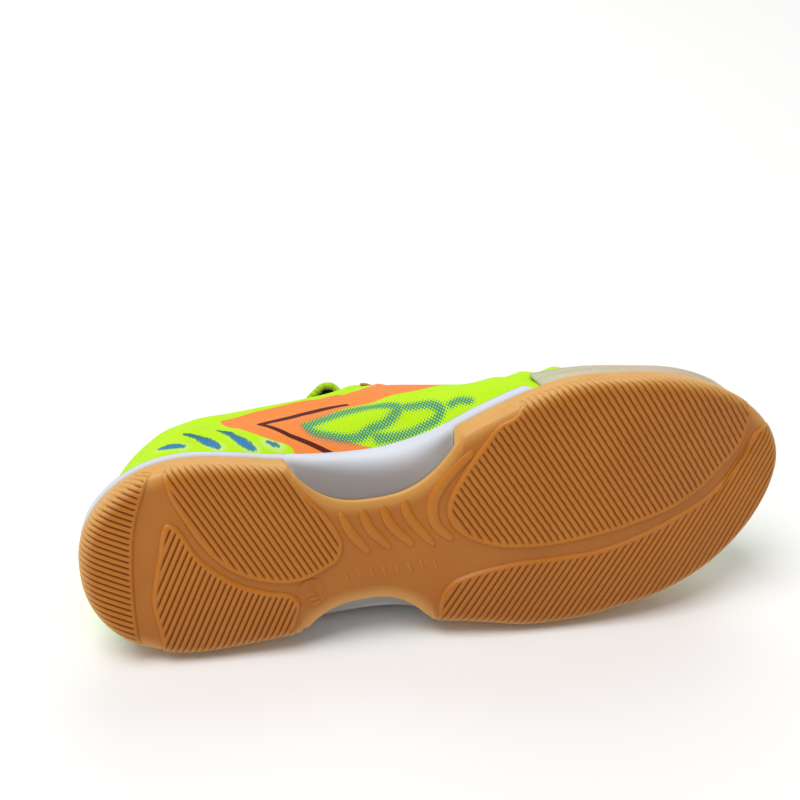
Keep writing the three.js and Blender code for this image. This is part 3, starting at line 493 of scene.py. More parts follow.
def pod(name):
    """One tread pod: rows of points along its ribs, with grooves that end inside its smooth margin."""
    angle, pitch, groove, share, margin, wave, reach = GROOVES[name]
    outline = catmull([(along * SOLE, across * BALL) for along, across in PODS[name]], 12, closed=True)
    turn = math.radians(angle)
    along = np.array([math.cos(turn), math.sin(turn)])
    across = np.array([-math.sin(turn), math.cos(turn)])
    limit = EDGE_ROUND - CURVE_ARC[-1] - (reach - POD_WRAP)
    spans = outline @ across
    steps = np.array([0.0, 1 - share, 1 - share * 0.78, 1 - share * 0.5, 1 - share * 0.22])
    first, last = spans.min() + 0.25, spans.max() - 0.25
    lines = (np.arange(math.floor(first / pitch) - 1, last / pitch + 1)[:, None] + steps).ravel() * pitch
    lines = np.concatenate([[first], lines[(lines > first) & (lines < last)], [last]])
    along_range = outline @ along
    probe = np.linspace(along_range.min(), along_range.max(), 420)
    rows, kept = [], []
    for line in lines:
        points = probe[:, None] * along + line * across
        inside = inside_polygon(points, outline)
        if inside.sum() < 3:
            continue
        _, _, inset = nearest_edge(points[inside])
        usable = probe[inside][inset > limit]
        if len(usable) < 3:
            continue
        span = usable[-1] - usable[0]
        t = np.linspace(0, 1, 64)
        t = t - 0.82 * np.sin(2 * math.pi * t) / (2 * math.pi)
        rows.append((usable[0] + span * t)[:, None] * along + line * across)
        kept.append(line)
    rows = np.array(rows)
    kept = np.array(kept)
    flat = rows.reshape(-1, 2)
    _, _, inset = nearest_edge(flat)
    distance = np.minimum(edge_distance(flat, outline), np.maximum(inset - limit, 0))
    phase = (np.repeat(kept, rows.shape[1]) / pitch) % 1
    cut = np.clip((phase - (1 - share)) / share, 0, 1)
    profile = np.sin(math.pi * cut) ** 0.7 * (phase > 1 - share)
    ends = smooth(distance, margin - 0.7, margin + 0.5)
    open_side = smooth(-inset, -1.0, 1.0)
    ends = np.maximum(ends, open_side * smooth(distance, 0.2, 0.9))
    lowered = profile * ends
    edge = CHANNEL * (1 - smooth(distance, -0.2, 1.5)) + 0.25 * (1 - smooth(distance, 0, 0.3))
    depth = edge + groove * lowered
    number = np.floor(np.repeat(kept, rows.shape[1]) / pitch)
    ripple = wave * np.sin(flat @ along * 2 * math.pi / WAVE_LENGTH + number * WAVE_SHIFT)
    moved = flat + across * (ripple * ends)[:, None]
    points = on_gum(moved, depth)
    faces = grid_faces(len(rows), rows.shape[1])
    a, b, c = points[faces[len(faces) // 2][:3]]
    if np.cross(b - a, c - a)[2] > 0:
        faces = faces[:, ::-1]
    # Painted shade in the grooves and in the channel round the pod
    recess_shade = np.clip(lowered + 0.55 * smooth(edge, 0.3, 1.2), 0, 1)
    # The back of the pod closes it under the tread, so it is one solid
    back = on_gum(moved, np.full(len(moved), CHANNEL + POD_SINK))
    # The last value lightens the pod where it wraps up the side: partly the rubber's own tone, partly painted
    # highlight
    return points, faces, back, recess_shade, smooth(inset, 4.5, -1.0)


def close_sheet(points, back, faces, count):
    """Faces of a sheet, of its back and of the rim between them."""
    edges = {}
    for face in faces:
        size = len(face)
        for k in range(size):
            edges[(int(face[k]), int(face[(k + 1) % size]))] = True
    rim = [(b, a, a + count, b + count) for a, b in edges if (b, a) not in edges]
    reverse = [tuple(int(v) + count for v in face[::-1]) for face in faces]
    return [tuple(int(v) for v in face) for face in faces] + reverse + rim


def tone(code):
    """A colour by its screen value, as the linear numbers that shaders take."""
    parts = [int(code[k:k + 2], 16) / 255 for k in (0, 2, 4)]
    return tuple(p / 12.92 if p <= 0.04045 else ((p + 0.055) / 1.055) ** 2.4 for p in parts) + (1.0,)


class Shade:
    """A procedural material, built from small expressions."""

    def __init__(self, name, roughness=0.6, specular=0.5):
        self.material = bpy.data.materials.new(name)
        self.material.use_nodes = True
        self.nodes = self.material.node_tree.nodes
        self.links = self.material.node_tree.links
        self.shader = self.nodes["Principled BSDF"]
        self.shader.inputs["Roughness"].default_value = roughness
        self.shader.inputs["Specular IOR Level"].default_value = specular

    def feed(self, socket, value):
        if isinstance(value, bpy.types.NodeSocket):
            self.links.new(value, socket)
        else:
            socket.default_value = value

    def read(self, name, vector=False):
        node = self.nodes.new("ShaderNodeAttribute")
        node.attribute_name = name
        return node.outputs["Vector" if vector else "Fac"]

    def split(self, vector):
        node = self.nodes.new("ShaderNodeSeparateXYZ")
        self.feed(node.inputs[0], vector)
        return node.outputs[0], node.outputs[1], node.outputs[2]

    def join(self, x, y, z=0.0):
        node = self.nodes.new("ShaderNodeCombineXYZ")
        for socket, value in zip(node.inputs, (x, y, z)):
            self.feed(socket, value)
        return node.outputs[0]

    def calc(self, operation, *values, clamp=False):
        node = self.nodes.new("ShaderNodeMath")
        node.operation = operation
        node.use_clamp = clamp
        for socket, value in zip(node.inputs, values):
            self.feed(socket, value)
        return node.outputs[0]

    def step(self, value, start, end):
        """0 before start and 1 past end, smooth between; start may be the larger."""
        node = self.nodes.new("ShaderNodeMapRange")
        node.interpolation_type = "SMOOTHSTEP"
        self.feed(node.inputs["Value"], value)
        low, high, near, far = (start, end, 0.0, 1.0) if start < end else (end, start, 1.0, 0.0)
        node.inputs["From Min"].default_value = low
        node.inputs["From Max"].default_value = high
        node.inputs["To Min"].default_value = near
        node.inputs["To Max"].default_value = far
        return node.outputs["Result"]

    def vector(self, operation, *values):
        node = self.nodes.new("ShaderNodeVectorMath")
        node.operation = operation
        for socket, value in zip(node.inputs, values):
            self.feed(socket, value)
        return node.outputs["Value" if operation in ("DOT_PRODUCT", "LENGTH") else "Vector"]

    def segment(self, flat, start, end):
        """How far a place in a plane is from a segment, and the share of the segment's length beside it."""
        run = (end[0] - start[0], end[1] - start[1])
        squared = run[0] ** 2 + run[1] ** 2
        from_start = self.vector("SUBTRACT", flat, (*start, 0.0))
        beside = self.vector("DOT_PRODUCT", from_start, (run[0] / squared, run[1] / squared, 0.0))
        share = self.calc("MULTIPLY", beside, 1.0, clamp=True)
        along = self.vector("MULTIPLY", self.join(share, share), (*run, 0.0))
        return self.vector("LENGTH", self.vector("SUBTRACT", from_start, along)), share

    def least(self, values):
        result = values[0]
        for value in values[1:]:
            result = self.calc("MINIMUM", result, value)
        return result

    def noise(self, vector, scale, detail=3.0, roughness=0.55):
        node = self.nodes.new("ShaderNodeTexNoise")
        self.feed(node.inputs["Vector"], vector)
        node.inputs["Scale"].default_value = scale
        node.inputs["Detail"].default_value = detail
        node.inputs["Roughness"].default_value = roughness
        return node.outputs["Fac"]

    def cells(self, vector, scale):
        node = self.nodes.new("ShaderNodeTexVoronoi")
        self.feed(node.inputs["Vector"], vector)
        node.inputs["Scale"].default_value = scale
        return node.outputs["Distance"]

    def blend(self, factor, a, b, mode="MIX"):
        node = self.nodes.new("ShaderNodeMix")
        node.data_type = "RGBA"
        node.blend_type = mode
        self.feed(node.inputs["Factor"], factor)
        self.feed(node.inputs[6], a)
        self.feed(node.inputs[7], b)
        return node.outputs[2]

    def over(self, base, mask, share, code, mode="MIX"):
        """The base with a tone laid over it where the mask is 1, at a share of its strength."""
        return self.blend(self.calc("MULTIPLY", mask, share), base, tone(code), mode)

    def crossed(self, u, v, slope, period, power=1.0):
        """Two waves that cross, along u and v and against v."""
        across = v if slope == 1 else self.calc("MULTIPLY", v, slope)
        return [self.ripple(self.calc(way, u, across), period, power) for way in ("ADD", "SUBTRACT")]

    def layer(self, part, weight, roughness=None):
        """The shader's coat or sheen."""
        self.shader.inputs[part + " Weight"].default_value = weight
        if roughness is not None:
            self.shader.inputs[part + " Roughness"].default_value = roughness

    def colour(self, value):
        self.feed(self.shader.inputs["Base Color"], value)

    def rough(self, value):
        self.feed(self.shader.inputs["Roughness"], value)

    def bump(self, height, distance, strength=1.0):
        node = self.nodes.new("ShaderNodeBump")
        node.inputs["Strength"].default_value = strength
        node.inputs["Distance"].default_value = distance
        self.feed(node.inputs["Height"], height)
        if self.shader.inputs["Normal"].is_linked:
            self.links.new(self.shader.inputs["Normal"].links[0].from_socket, node.inputs["Normal"])
        self.links.new(node.outputs["Normal"], self.shader.inputs["Normal"])

    def ripple(self, value, period, power=1.0):
        """A wave of a length in millimetres, 0 to 1."""
        turned = self.calc("MULTIPLY", value, 2 * math.pi / period)
        wave = self.calc("MULTIPLY_ADD", self.calc("SINE", turned), 0.5, 0.5)
        return wave if power == 1.0 else self.calc("POWER", wave, power)


# The printed panels, as places along the shoe and heights above the ground
CHEVRON = [
    (57.5, 47.5), (65.5, 51.5), (71.7, 54), (79.8, 56.3), (87, 58.2), (94, 59.5), (102, 60.5), (112, 63),
    (121, 70), (131, 79), (150, 74), (166, 58), (150, 51), (136.7, 47.2), (128, 47.8), (117.6, 46.7),
    (103, 43.7), (94.4, 40), (87, 36.6), (89.6, 31.6), (95.8, 29.5), (101, 28.2), (107, 26), (117, 22),
    (117, 12), (82, 12), (80.5, 24.8), (74.6, 27.6), (69.9, 30.2), (63.2, 35.7)]
PINSTRIPE = [(97.5, 21.5), (81, 30.2), (71.2, 38.4), (87.8, 45.4), (106.2, 48.9)]
RINGS = [
    [(88, 35.5), (95.5, 38.8), (103.4, 41.3), (116.5, 42.3), (125, 38.2), (119.7, 33.8), (112.7, 31.6),
     (105.3, 28.7), (95.8, 29.9), (89.8, 32.1), (88, 35.5)],
    [(128, 37.5), (136.5, 34.5), (139.6, 30), (137.7, 27.8), (131.5, 27), (123.4, 26.8), (114, 27.5)],
    [(144, 30), (147, 30.3), (150.4, 28.2)],
]
DABS = [
    ((33.3, 29.5), (41, 27.5), 1.5), ((43, 36.8), (48.5, 32.5), 1.0), ((47, 33), (53.6, 25.6), 1.8),
    ((55.5, 38), (61, 30), 1.0), ((59.5, 31.5), (66, 24), 1.6), ((72, 27.2), (75.4, 25.4), 0.6)]


def gum_material():
    shade = Shade("gum rubber", roughness=0.45, specular=0.4)
    place = shade.read("place", vector=True)
    y = shade.split(place)[1]
    base = shade.blend(shade.noise(place, 0.045, 4.0, 0.6), tone("ba6a0c"), tone("d0801c"))
    # Painted shade darkens the lateral side, away from the light, and the grooves; lighter up the wall, partly the
    # rubber's own tone and partly painted highlight; rubbed in patches
    base = shade.over(base, shade.step(y, 5.0, 48.0), 0.5, "a35c10")
    # The edge tone is partly the wall's own lighter rubber and partly painted highlight where the gum faces the
    # light
    base = shade.over(base, shade.read("edge"), 0.85, "dfaa5c")
    # Painted shade darkens the grooves, the channel floors and the feet of the ridges
    base = shade.over(base, shade.step(shade.read("recess_shade"), 0.05, 0.95), 0.66, "7c3e08")
    base = shade.over(base, shade.step(shade.noise(place, 0.09, 5.0, 0.7), 0.52, 0.72), 0.14, "94612a")
    shade.colour(base)
    shade.rough(shade.calc("MULTIPLY_ADD", shade.noise(place, 0.6), 0.2, 0.32))
    shade.shader.inputs["Subsurface Weight"].default_value = 0.04
    shade.shader.inputs["Subsurface Radius"].default_value = (0.003, 0.0018, 0.0008)
    shade.shader.inputs["Subsurface Scale"].default_value = 0.4
    shade.layer("Coat", 0.06, 0.35)
    shade.bump(shade.noise(place, 2.2, 2.0), 0.00012, 0.5)
    shade.bump(shade.noise(place, 0.25), 0.0003, 0.3)
    return shade.material


def foam_material():
    shade = Shade("midsole foam", roughness=0.5)
    place = shade.read("place", vector=True)
    z = shade.split(place)[2]
    base = shade.blend(shade.noise(place, 0.06), tone("cdd2dd"), tone("d8dce5"))
    # Painted shade turns the scoop grey towards the gum, where it faces down away from the light, and the foam
    # carries a little dirt
    base = shade.over(base, shade.step(z, 16.5, 9.0), 0.9, "897f79")
    base = shade.over(base, shade.step(shade.noise(place, 0.12, 5.0, 0.7), 0.56, 0.75), 0.16, "a49a8e")
    shade.colour(base)
    shade.rough(shade.calc("MULTIPLY_ADD", shade.noise(place, 0.5), 0.18, 0.4))
    shade.bump(shade.noise(place, 3.0, 2.0), 0.0001, 0.4)
    shade.bump(shade.cells(place, 1.1), 0.00008, 0.35)
    return shade.material


def knit_bump(shade, u, v, place, pitch=0.9):
    """Rows of small knitted loops."""
    column = shade.ripple(u, pitch)
    slant = shade.calc("MULTIPLY", column, 0.35 * pitch)
    row = shade.ripple(shade.calc("ADD", v, slant), pitch * 0.78)
    loops = shade.calc("MULTIPLY", shade.calc("POWER", column, 0.6), row)
    yarn = shade.calc("MULTIPLY_ADD", shade.noise(place, 1.6, 2.0), 0.3, loops)
    shade.bump(yarn, 0.00014, 0.9)
    shade.bump(shade.noise(place, 0.09), 0.0008, 0.25)
    return loops


def knit_material():
    shade = Shade("printed knit", roughness=0.8, specular=0.2)
    place = shade.read("place", vector=True)
    x, _, z = shade.split(place)
    u, v = shade.read("along"), shade.read("girth")
    flat = shade.join(x, z)
    loops = knit_bump(shade, u, v, place)
    base = shade.blend(shade.noise(place, 0.05), tone("bdf205"), tone("ccfa12"))
    # Dabs of a brush: blue below, teal above, with a pale haze round their lower ends
    brush = shade.noise(shade.join(shade.calc("MULTIPLY", u, 0.9), shade.calc("MULTIPLY", z, 0.35)), 1.3, 3.0, 0.6)
    near, swollen = [], []
    for start, end, width in DABS:
        distance, share = shade.segment(flat, start, end)
        swell = shade.calc("SINE", shade.calc("MULTIPLY_ADD", share, 2.3, 0.35))
        near.append(distance)
        swollen.append(shade.calc("MULTIPLY_ADD", swell, -width, distance))
    dabs = shade.calc("ADD", shade.least(swollen), shade.calc("MULTIPLY_ADD", brush, 2.4, -1.2))
    haze = shade.calc("MULTIPLY", shade.step(shade.least(near), 4.0, 0.5), shade.step(z, 33.0, 25.0))
    base = shade.over(base, haze, 0.45, "e6f2d6")
    base = shade.over(base, shade.step(dabs, 0.75, 0.45), 0.85, "4f9a5e")
    cores = shade.blend(shade.step(z, 37.0, 27.0), tone("2c6f7e"), tone("3b86bf"))
    base = shade.blend(shade.step(dabs, 0.2, -0.05), base, cores)
    # The chevron panel, a half-tone of teal dots round the panels, and the chevron's dark line
    base = shade.blend(shade.step(shade.read("chevron"), 0.2, -0.2), base, tone("ff9146"))
    dots = shade.calc("MULTIPLY", shade.calc("ADD", *shade.crossed(u, v, 0.62, 1.3)), 0.5)
    weight = shade.calc("MULTIPLY", shade.step(shade.read("ring"), 3.8, 0.3), 0.78)
    base = shade.over(base, shade.step(shade.calc("ADD", dots, weight), 0.93, 1.05), 0.92, "2f8f7c")
    line = shade.least([shade.segment(flat, *ends)[0] for ends in zip(PINSTRIPE[:-1], PINSTRIPE[1:])])
    thick = shade.calc("MULTIPLY_ADD", shade.step(z, 37.0, 43.0), -0.5, line)
    base = shade.blend(shade.step(thick, 1.2, 0.95), base, tone("5a1d12"))
    # Painted shade darkens the gaps between the knit's loops
    base = shade.over(base, shade.step(loops, 0.25, 0.0), 0.22, "7f9a20", "MULTIPLY")
    shade.colour(base)
    shade.rough(shade.calc("MULTIPLY_ADD", loops, -0.12, 0.86))
    shade.layer("Sheen", 0.06, 0.5)
    return shade.material


def plain_knit_material(name, light, dark, pitch=1.3, sheen=0.2):
    shade = Shade(name, roughness=0.88, specular=0.25)
    place = shade.read("place", vector=True)
    loops = knit_bump(shade, shade.read("along"), shade.read("girth"), place, pitch)
    base = shade.blend(shade.noise(place, 0.07, 4.0), tone(dark), tone(light))
    # Painted shade darkens the gaps between the knit's loops
    shade.colour(shade.over(base, shade.step(loops, 0.3, 0.0), 0.4, "808080", "MULTIPLY"))
    shade.rough(shade.calc("MULTIPLY_ADD", loops, -0.1, 0.92))
    shade.layer("Sheen", sheen)
    return shade.material


def film_material():
    shade = Shade("toe film", roughness=0.35)
    place = shade.read("place", vector=True)
    x = shade.split(place)[0]
    hatch = shade.calc("MAXIMUM", *shade.crossed(shade.read("along"), shade.read("girth"), 1, 1.5, 3.0))
    base = shade.blend(shade.step(x, 215.0, 170.0), tone("d3c4a6"), tone("bcc49c"))
    base = shade.over(base, shade.noise(place, 0.12, 4.0), 0.5, "c9a98d")
    base = shade.over(base, hatch, 0.28, "8d927c")
    base = shade.over(base, shade.step(shade.noise(place, 0.35, 5.0, 0.7), 0.55, 0.7), 0.3, "ece5d4")
    shade.colour(base)
    shade.rough(shade.calc("MULTIPLY_ADD", shade.noise(place, 0.4), 0.25, 0.25))
    shade.layer("Coat", 0.3, 0.25)
    shade.bump(hatch, 0.00012, 0.6)
    return shade.material


def stay_material():
    shade = Shade("fused eyestay", roughness=0.55)
    place = shade.read("place", vector=True)
    grain = shade.cells(place, 1.4)
    base = shade.blend(shade.noise(place, 0.08, 4.0), tone("f08a48"), tone("fb9c5c"))
    shade.colour(shade.over(base, grain, 0.2, "d06c31"))
    shade.rough(shade.calc("MULTIPLY_ADD", shade.noise(place, 0.8), 0.2, 0.42))
    shade.bump(grain, 0.0001, 0.6)
    return shade.material


def lace_material():
    shade = Shade("woven lace", roughness=0.85, specular=0.25)
    place = shade.read("place", vector=True)
    weave = shade.calc("MULTIPLY", *shade.crossed(shade.read("along"), shade.read("girth"), 1, 1.1))
    base = shade.blend(shade.noise(place, 0.4), tone("c2ea2a"), tone("d8f65a"))
    # Painted shade darkens the gaps between the weave's threads
    shade.colour(shade.over(base, shade.step(weave, 0.3, 0.0), 0.35, "7f9c1c"))
    shade.rough(shade.calc("MULTIPLY_ADD", weave, -0.15, 0.92))
    shade.bump(weave, 0.00025, 0.9)
    shade.layer("Sheen", 0.2)
    return shade.material


def floor_material():
    shade = Shade("studio floor", roughness=0.9, specular=0.2)
    coords = shade.nodes.new("ShaderNodeTexCoord").outputs["Object"]
    shade.colour(shade.blend(shade.noise(coords, 1.5, 3.0), tone("f7f7f6"), tone("fbfbfa")))
    return shade.material


GUM = gum_material()
FOAM = foam_material()
KNIT = knit_material()
TONGUE_KNIT = plain_knit_material("tongue knit", "c9f02a", "b2dc18")
LINING_AND_HOLE_SHADE = plain_knit_material("dark lining and hole shade", "2f3020", "1d1e14", 1.6, 0.1)
FOOTBED = plain_knit_material("footbed cloth", "33352a", "22231b", 0.9, 0.1)
FILM = film_material()
STAY = stay_material()
LACE = lace_material()


def place_piece(piece, node):
    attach(piece, "root")
    if node:
        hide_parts(node)
    return piece


def make_cup():
    """The gum cup: its flat tread floor, round edge, side wall and the inside that holds the foam."""
    def corners(side, at):
        top = wall_height(side, at)
        wrap = np.minimum(POD_WRAP, top * WRAP_SHARE)
        rows = [corner(gum_plan, side, at, 8.0, CHANNEL)]
        for t in np.linspace(0, 1, 9):
            inset = EDGE_ROUND * (1 - t) ** 2 + 0.3 * (1 - (1 - t) ** 2)
            rows.append(corner(gum_plan, side, at, inset, mix(CHANNEL, wrap, t * t)))
        for t in (0.35, 0.7, 0.92):
            rows.append(corner(gum_plan, side, at, 0.3 + 0.06 * t, mix(wrap, top - 0.5, t)))
        rows.append(corner(gum_plan, side, at, 0.5, top - 0.3))
        rows.append(corner(gum_plan, side, at, 0.85, top - 0.06))
        rows.append(corner(gum_plan, side, at, 1.4, top))
        rows.append(corner(gum_plan, side, at, WALL_THICK, top))
        rows.append(corner(gum_plan, side, at, WALL_THICK + WALL_DRAFT, np.minimum(GUM_FLOOR, top)))
        rows.append(corner(gum_plan, side, at, WALL_THICK + WALL_DRAFT + 3, np.minimum(GUM_FLOOR, top)))
        return np.stack(rows, 1)
    at = stations()
    rings = sole_sections(corners, at)
    half = rings.shape[1] // 2
    # Painted shade on the channel floor between the pods
    recess_shade = np.zeros(rings.shape[:2])
    recess_shade[:, half - 3:half + 3] = 0.35
    recess_shade[:, [half - 4, half + 3]] = 0.25
    # Lighter from the round edge up the wall: partly the rubber's own tone, partly painted highlight
    edge = np.ones(rings.shape[:2])
    for row in range(8):
        edge[:, [half - 1 - row, half + row]] = (max(row - 1, 0) / 7) ** 0.7
    attributes = {"recess_shade": recess_shade.ravel(), "edge": edge.ravel()}
    return place_piece(ring_solid("outsole_cup", rings, [GUM], attributes), "outsole")


def make_pods():
    for name in PODS:
        points, faces, back, recess_shade, edge = pod(name)
        count = len(points)
        shut = close_sheet(points, back, [list(f) for f in faces], count)
        piece = add_mesh("pod_" + name, np.concatenate([points, back]), clean_faces(shut), [GUM],
                         {"recess_shade": np.concatenate([recess_shade, recess_shade]), "edge": np.concatenate([edge, edge])})
        place_piece(piece, None)


def ridge(name, line, width, height, sink=0.5, taper=0.35, closed=False, columns=9):
    """A rounded ridge along a plan line, standing out of the channel floor."""
    line = np.asarray(line, float)
    tangent = np.gradient(line, axis=0)
    if closed:
        tangent = np.roll(line, -1, 0) - np.roll(line, 1, 0)
    tangent /= np.linalg.norm(tangent, axis=1, keepdims=True)
    across = np.column_stack([-tangent[:, 1], tangent[:, 0]])
    t = np.linspace(0, 1, len(line))
    full = np.ones(len(line)) if closed else taper + (1 - taper) * np.clip(np.sin(math.pi * t), 0, 1) ** 0.35
    turn = np.linspace(0, math.pi, columns)
    offset = np.cos(turn)[None] * (width / 2) * full[:, None]
    rise = np.sin(turn)[None] ** 0.8 * (height + sink) * full[:, None]
    flat = (line[:, None] + across[:, None] * offset[..., None]).reshape(-1, 2)
    depth = (CHANNEL + sink - rise).ravel()
    points = on_gum(flat, depth)
    rings = points.reshape(len(line), columns, 3)
    # Painted shade at the ridge's foot, in the channel
    shade = np.clip(0.9 - rise / (height + sink), 0, 1) * 0.6
    if closed:
        piece = add_mesh(name, points, torus_faces(len(line), columns), [GUM], {"recess_shade": shade.ravel()})
    else:
        piece = ring_solid(name, rings, [GUM], {"recess_shade": shade.ravel()})
    fix_normals(piece)
    return place_piece(piece, None)


def torus_faces(rings, columns):
    """Quads over rings of points, closed both ways."""
    faces = []
    for i in range(rings):
        for j in range(columns):
            near, far = i * columns, (i + 1) % rings * columns
            faces.append([near + j, near + (j + 1) % columns, far + (j + 1) % columns, far + j])
    return faces


def fix_normals(piece):
    """Turns the faces of a closed mesh outward."""
    mesh = bmesh.new()
    mesh.from_mesh(piece.data)
    bmesh.ops.recalc_face_normals(mesh, faces=mesh.faces)
    mesh.to_mesh(piece.data)
    mesh.free()


# The size number's place on the tread, and its strokes' width and height
SIZE_PLACE, STROKE = (81.0, 20.7), (0.75, 0.4)
RIB_LINES = [
    [(0.332, -0.1), (0.346, -0.01), (0.371, 0.086)],
    [(0.361, -0.105), (0.371, -0.02), (0.4, 0.08)],
    [(0.389, -0.11), (0.4, -0.02), (0.432, 0.08)],
    [(0.418, -0.125), (0.425, -0.045), (0.461, 0.092)],
    [(0.515, -0.28), (0.486, -0.21), (0.46, -0.1), (0.462, 0.0), (0.486, 0.075)],
]


def make_waist():
    """The waist's low ribs, its size number in a ring and a row of plain bars."""
    for number, line in enumerate(RIB_LINES):
        curve = catmull([(along * SOLE, across * BALL) for along, across in line], 16)
        ridge(f"waist_rib_{number + 1}", curve, 4.3 if number < 4 else 5.0, 1.1)
    turn = np.linspace(0, 2 * math.pi, 60, endpoint=False)
    centre = np.array(SIZE_PLACE)
    ring = centre + np.column_stack([np.cos(turn), np.sin(turn)]) * 5.3
    ridge("size_ring", ring, 0.8, 0.4, closed=True, columns=7)
    # The number reads with its top to the medial side: strokes of a four and a nought
    strokes = [
        [(-0.2, 1.0), (-0.85, -0.35), (0.75, -0.35)],
        [(0.3, 0.35), (0.3, -1.0)],
    ]
    for number, stroke in enumerate(strokes):
        path = [centre + digit_point(x, y, -1.9) for x, y in stroke]
        curve = np.concatenate([np.linspace(a, b, 7)[:-1] for a, b in zip(path[:-1], path[1:])] + [path[-1:]])
        ridge(f"size_four_{number + 1}", curve, *STROKE, columns=7, taper=0.8)
    oval = np.array([centre + digit_point(0.78 * math.cos(t), math.sin(t), 1.9) for t in turn[::2]])
    ridge("size_nought", oval, *STROKE, closed=True, columns=7)
    for number in range(8):
        x = 94.0 + number * 4.9
        bar = np.linspace((x, 14.6), (x + 1.4, 19.6), 8)
        ridge(f"waist_bar_{number + 1}", bar, 1.5, 0.35, columns=7, taper=0.7)


def digit_point(x, y, shift):
    """A stroke point of a digit that is two units high, turned so that its top is towards the toe."""
    return np.array([y * 2.1, x * 1.7 + shift])


def make_midsole():
    """The foam cup: a band above the gum at the heel and a scooped face at each side of the arch."""
    sweep = np.array([(0, 0), (0.5, 0.24), (0.88, 0.58), (1, 1)], float)
    sweep = catmull(sweep, 6)

    def corners(side, at):
        wall = wall_height(side, at)
        rim = rim_height(at)
        ledge = np.minimum(wall + 1.2 * GAP, rim - 0.1)

        def snug(height):
            deep = np.clip((wall - height) / (WALL_HEEL - GUM_FLOOR), 0, 1)
            return WALL_THICK + WALL_DRAFT * deep + 1.4 * GAP
        fade = smooth(at, *BAND_FADE)
        reach = mix(BAND_INSET, snug(ledge), fade)
        scoop = corner(gum_plan, side, at, reach, ledge)
        crest = corner(wide_plan, side, at, reach + RIM_SLANT, rim)
        rows = [
            corner(gum_plan, side, at, snug(GUM_FLOOR) + 0.3, GUM_FLOOR + 1.2 * GAP),
            corner(gum_plan, side, at, snug(GUM_FLOOR), np.minimum(ledge, GUM_FLOOR + 1)),
            corner(gum_plan, side, at, snug(ledge), ledge)]
        for out, up in sweep[:-1]:
            place = mix(scoop, crest, out)
            place[:, 2] = mix(scoop[:, 2], crest[:, 2], up)
            rows.append(place)
        band = np.minimum(1.0, (rim - ledge) * 0.3)
        rows.append(corner(wide_plan, side, at, reach + RIM_SLANT, rim - band * 0.9))
        rows.append(corner(wide_plan, side, at, reach + RIM_SLANT + 0.12, rim - band * 0.45))
        rows.append(corner(wide_plan, side, at, reach + RIM_SLANT + 0.4, rim - band * 0.12))
        rows.append(corner(wide_plan, side, at, reach + RIM_SLANT + 0.9, rim))
        lip = mix(BAND_INSET + RIM_SLANT + RIM_WIDTH, snug(ledge) + 2 * RIM_SLANT + 0.9, fade)
        rows.append(corner(wide_plan, side, at, lip, rim))
        rows.append(corner(wide_plan, side, at, lip + RIM_SLANT, footbed(at)))
        return np.stack(rows, 1)
    rings = sole_sections(corners, stations(24, 150))
    place_piece(ring_solid("midsole_foam", rings, [FOAM]), "midsole")


def make_insole():
    inset = BAND_INSET + RIM_WIDTH + 2 * RIM_SLANT + 2 * GAP + KNIT_WALL + 0.6

    def corners(side, at):
        base = footbed(at) + GAP
        rows = []
        for turn in np.linspace(-1, 1, 7):
            rows.append(corner(wide_plan, side, at, inset + 0.8 * turn * turn, base + INSOLE_THICK * (turn + 1) / 2))
        rows.append(corner(wide_plan, side, at, inset + 6, base + INSOLE_THICK - 0.2))
        return np.stack(rows, 1)
    rings = sole_sections(corners, stations(14, 70))
    flat = rings.reshape(-1, 3)
    place_piece(ring_solid("insole_footbed", rings, [FOOTBED], {"along": flat[:, 0], "girth": flat[:, 1]}),
                "insole")


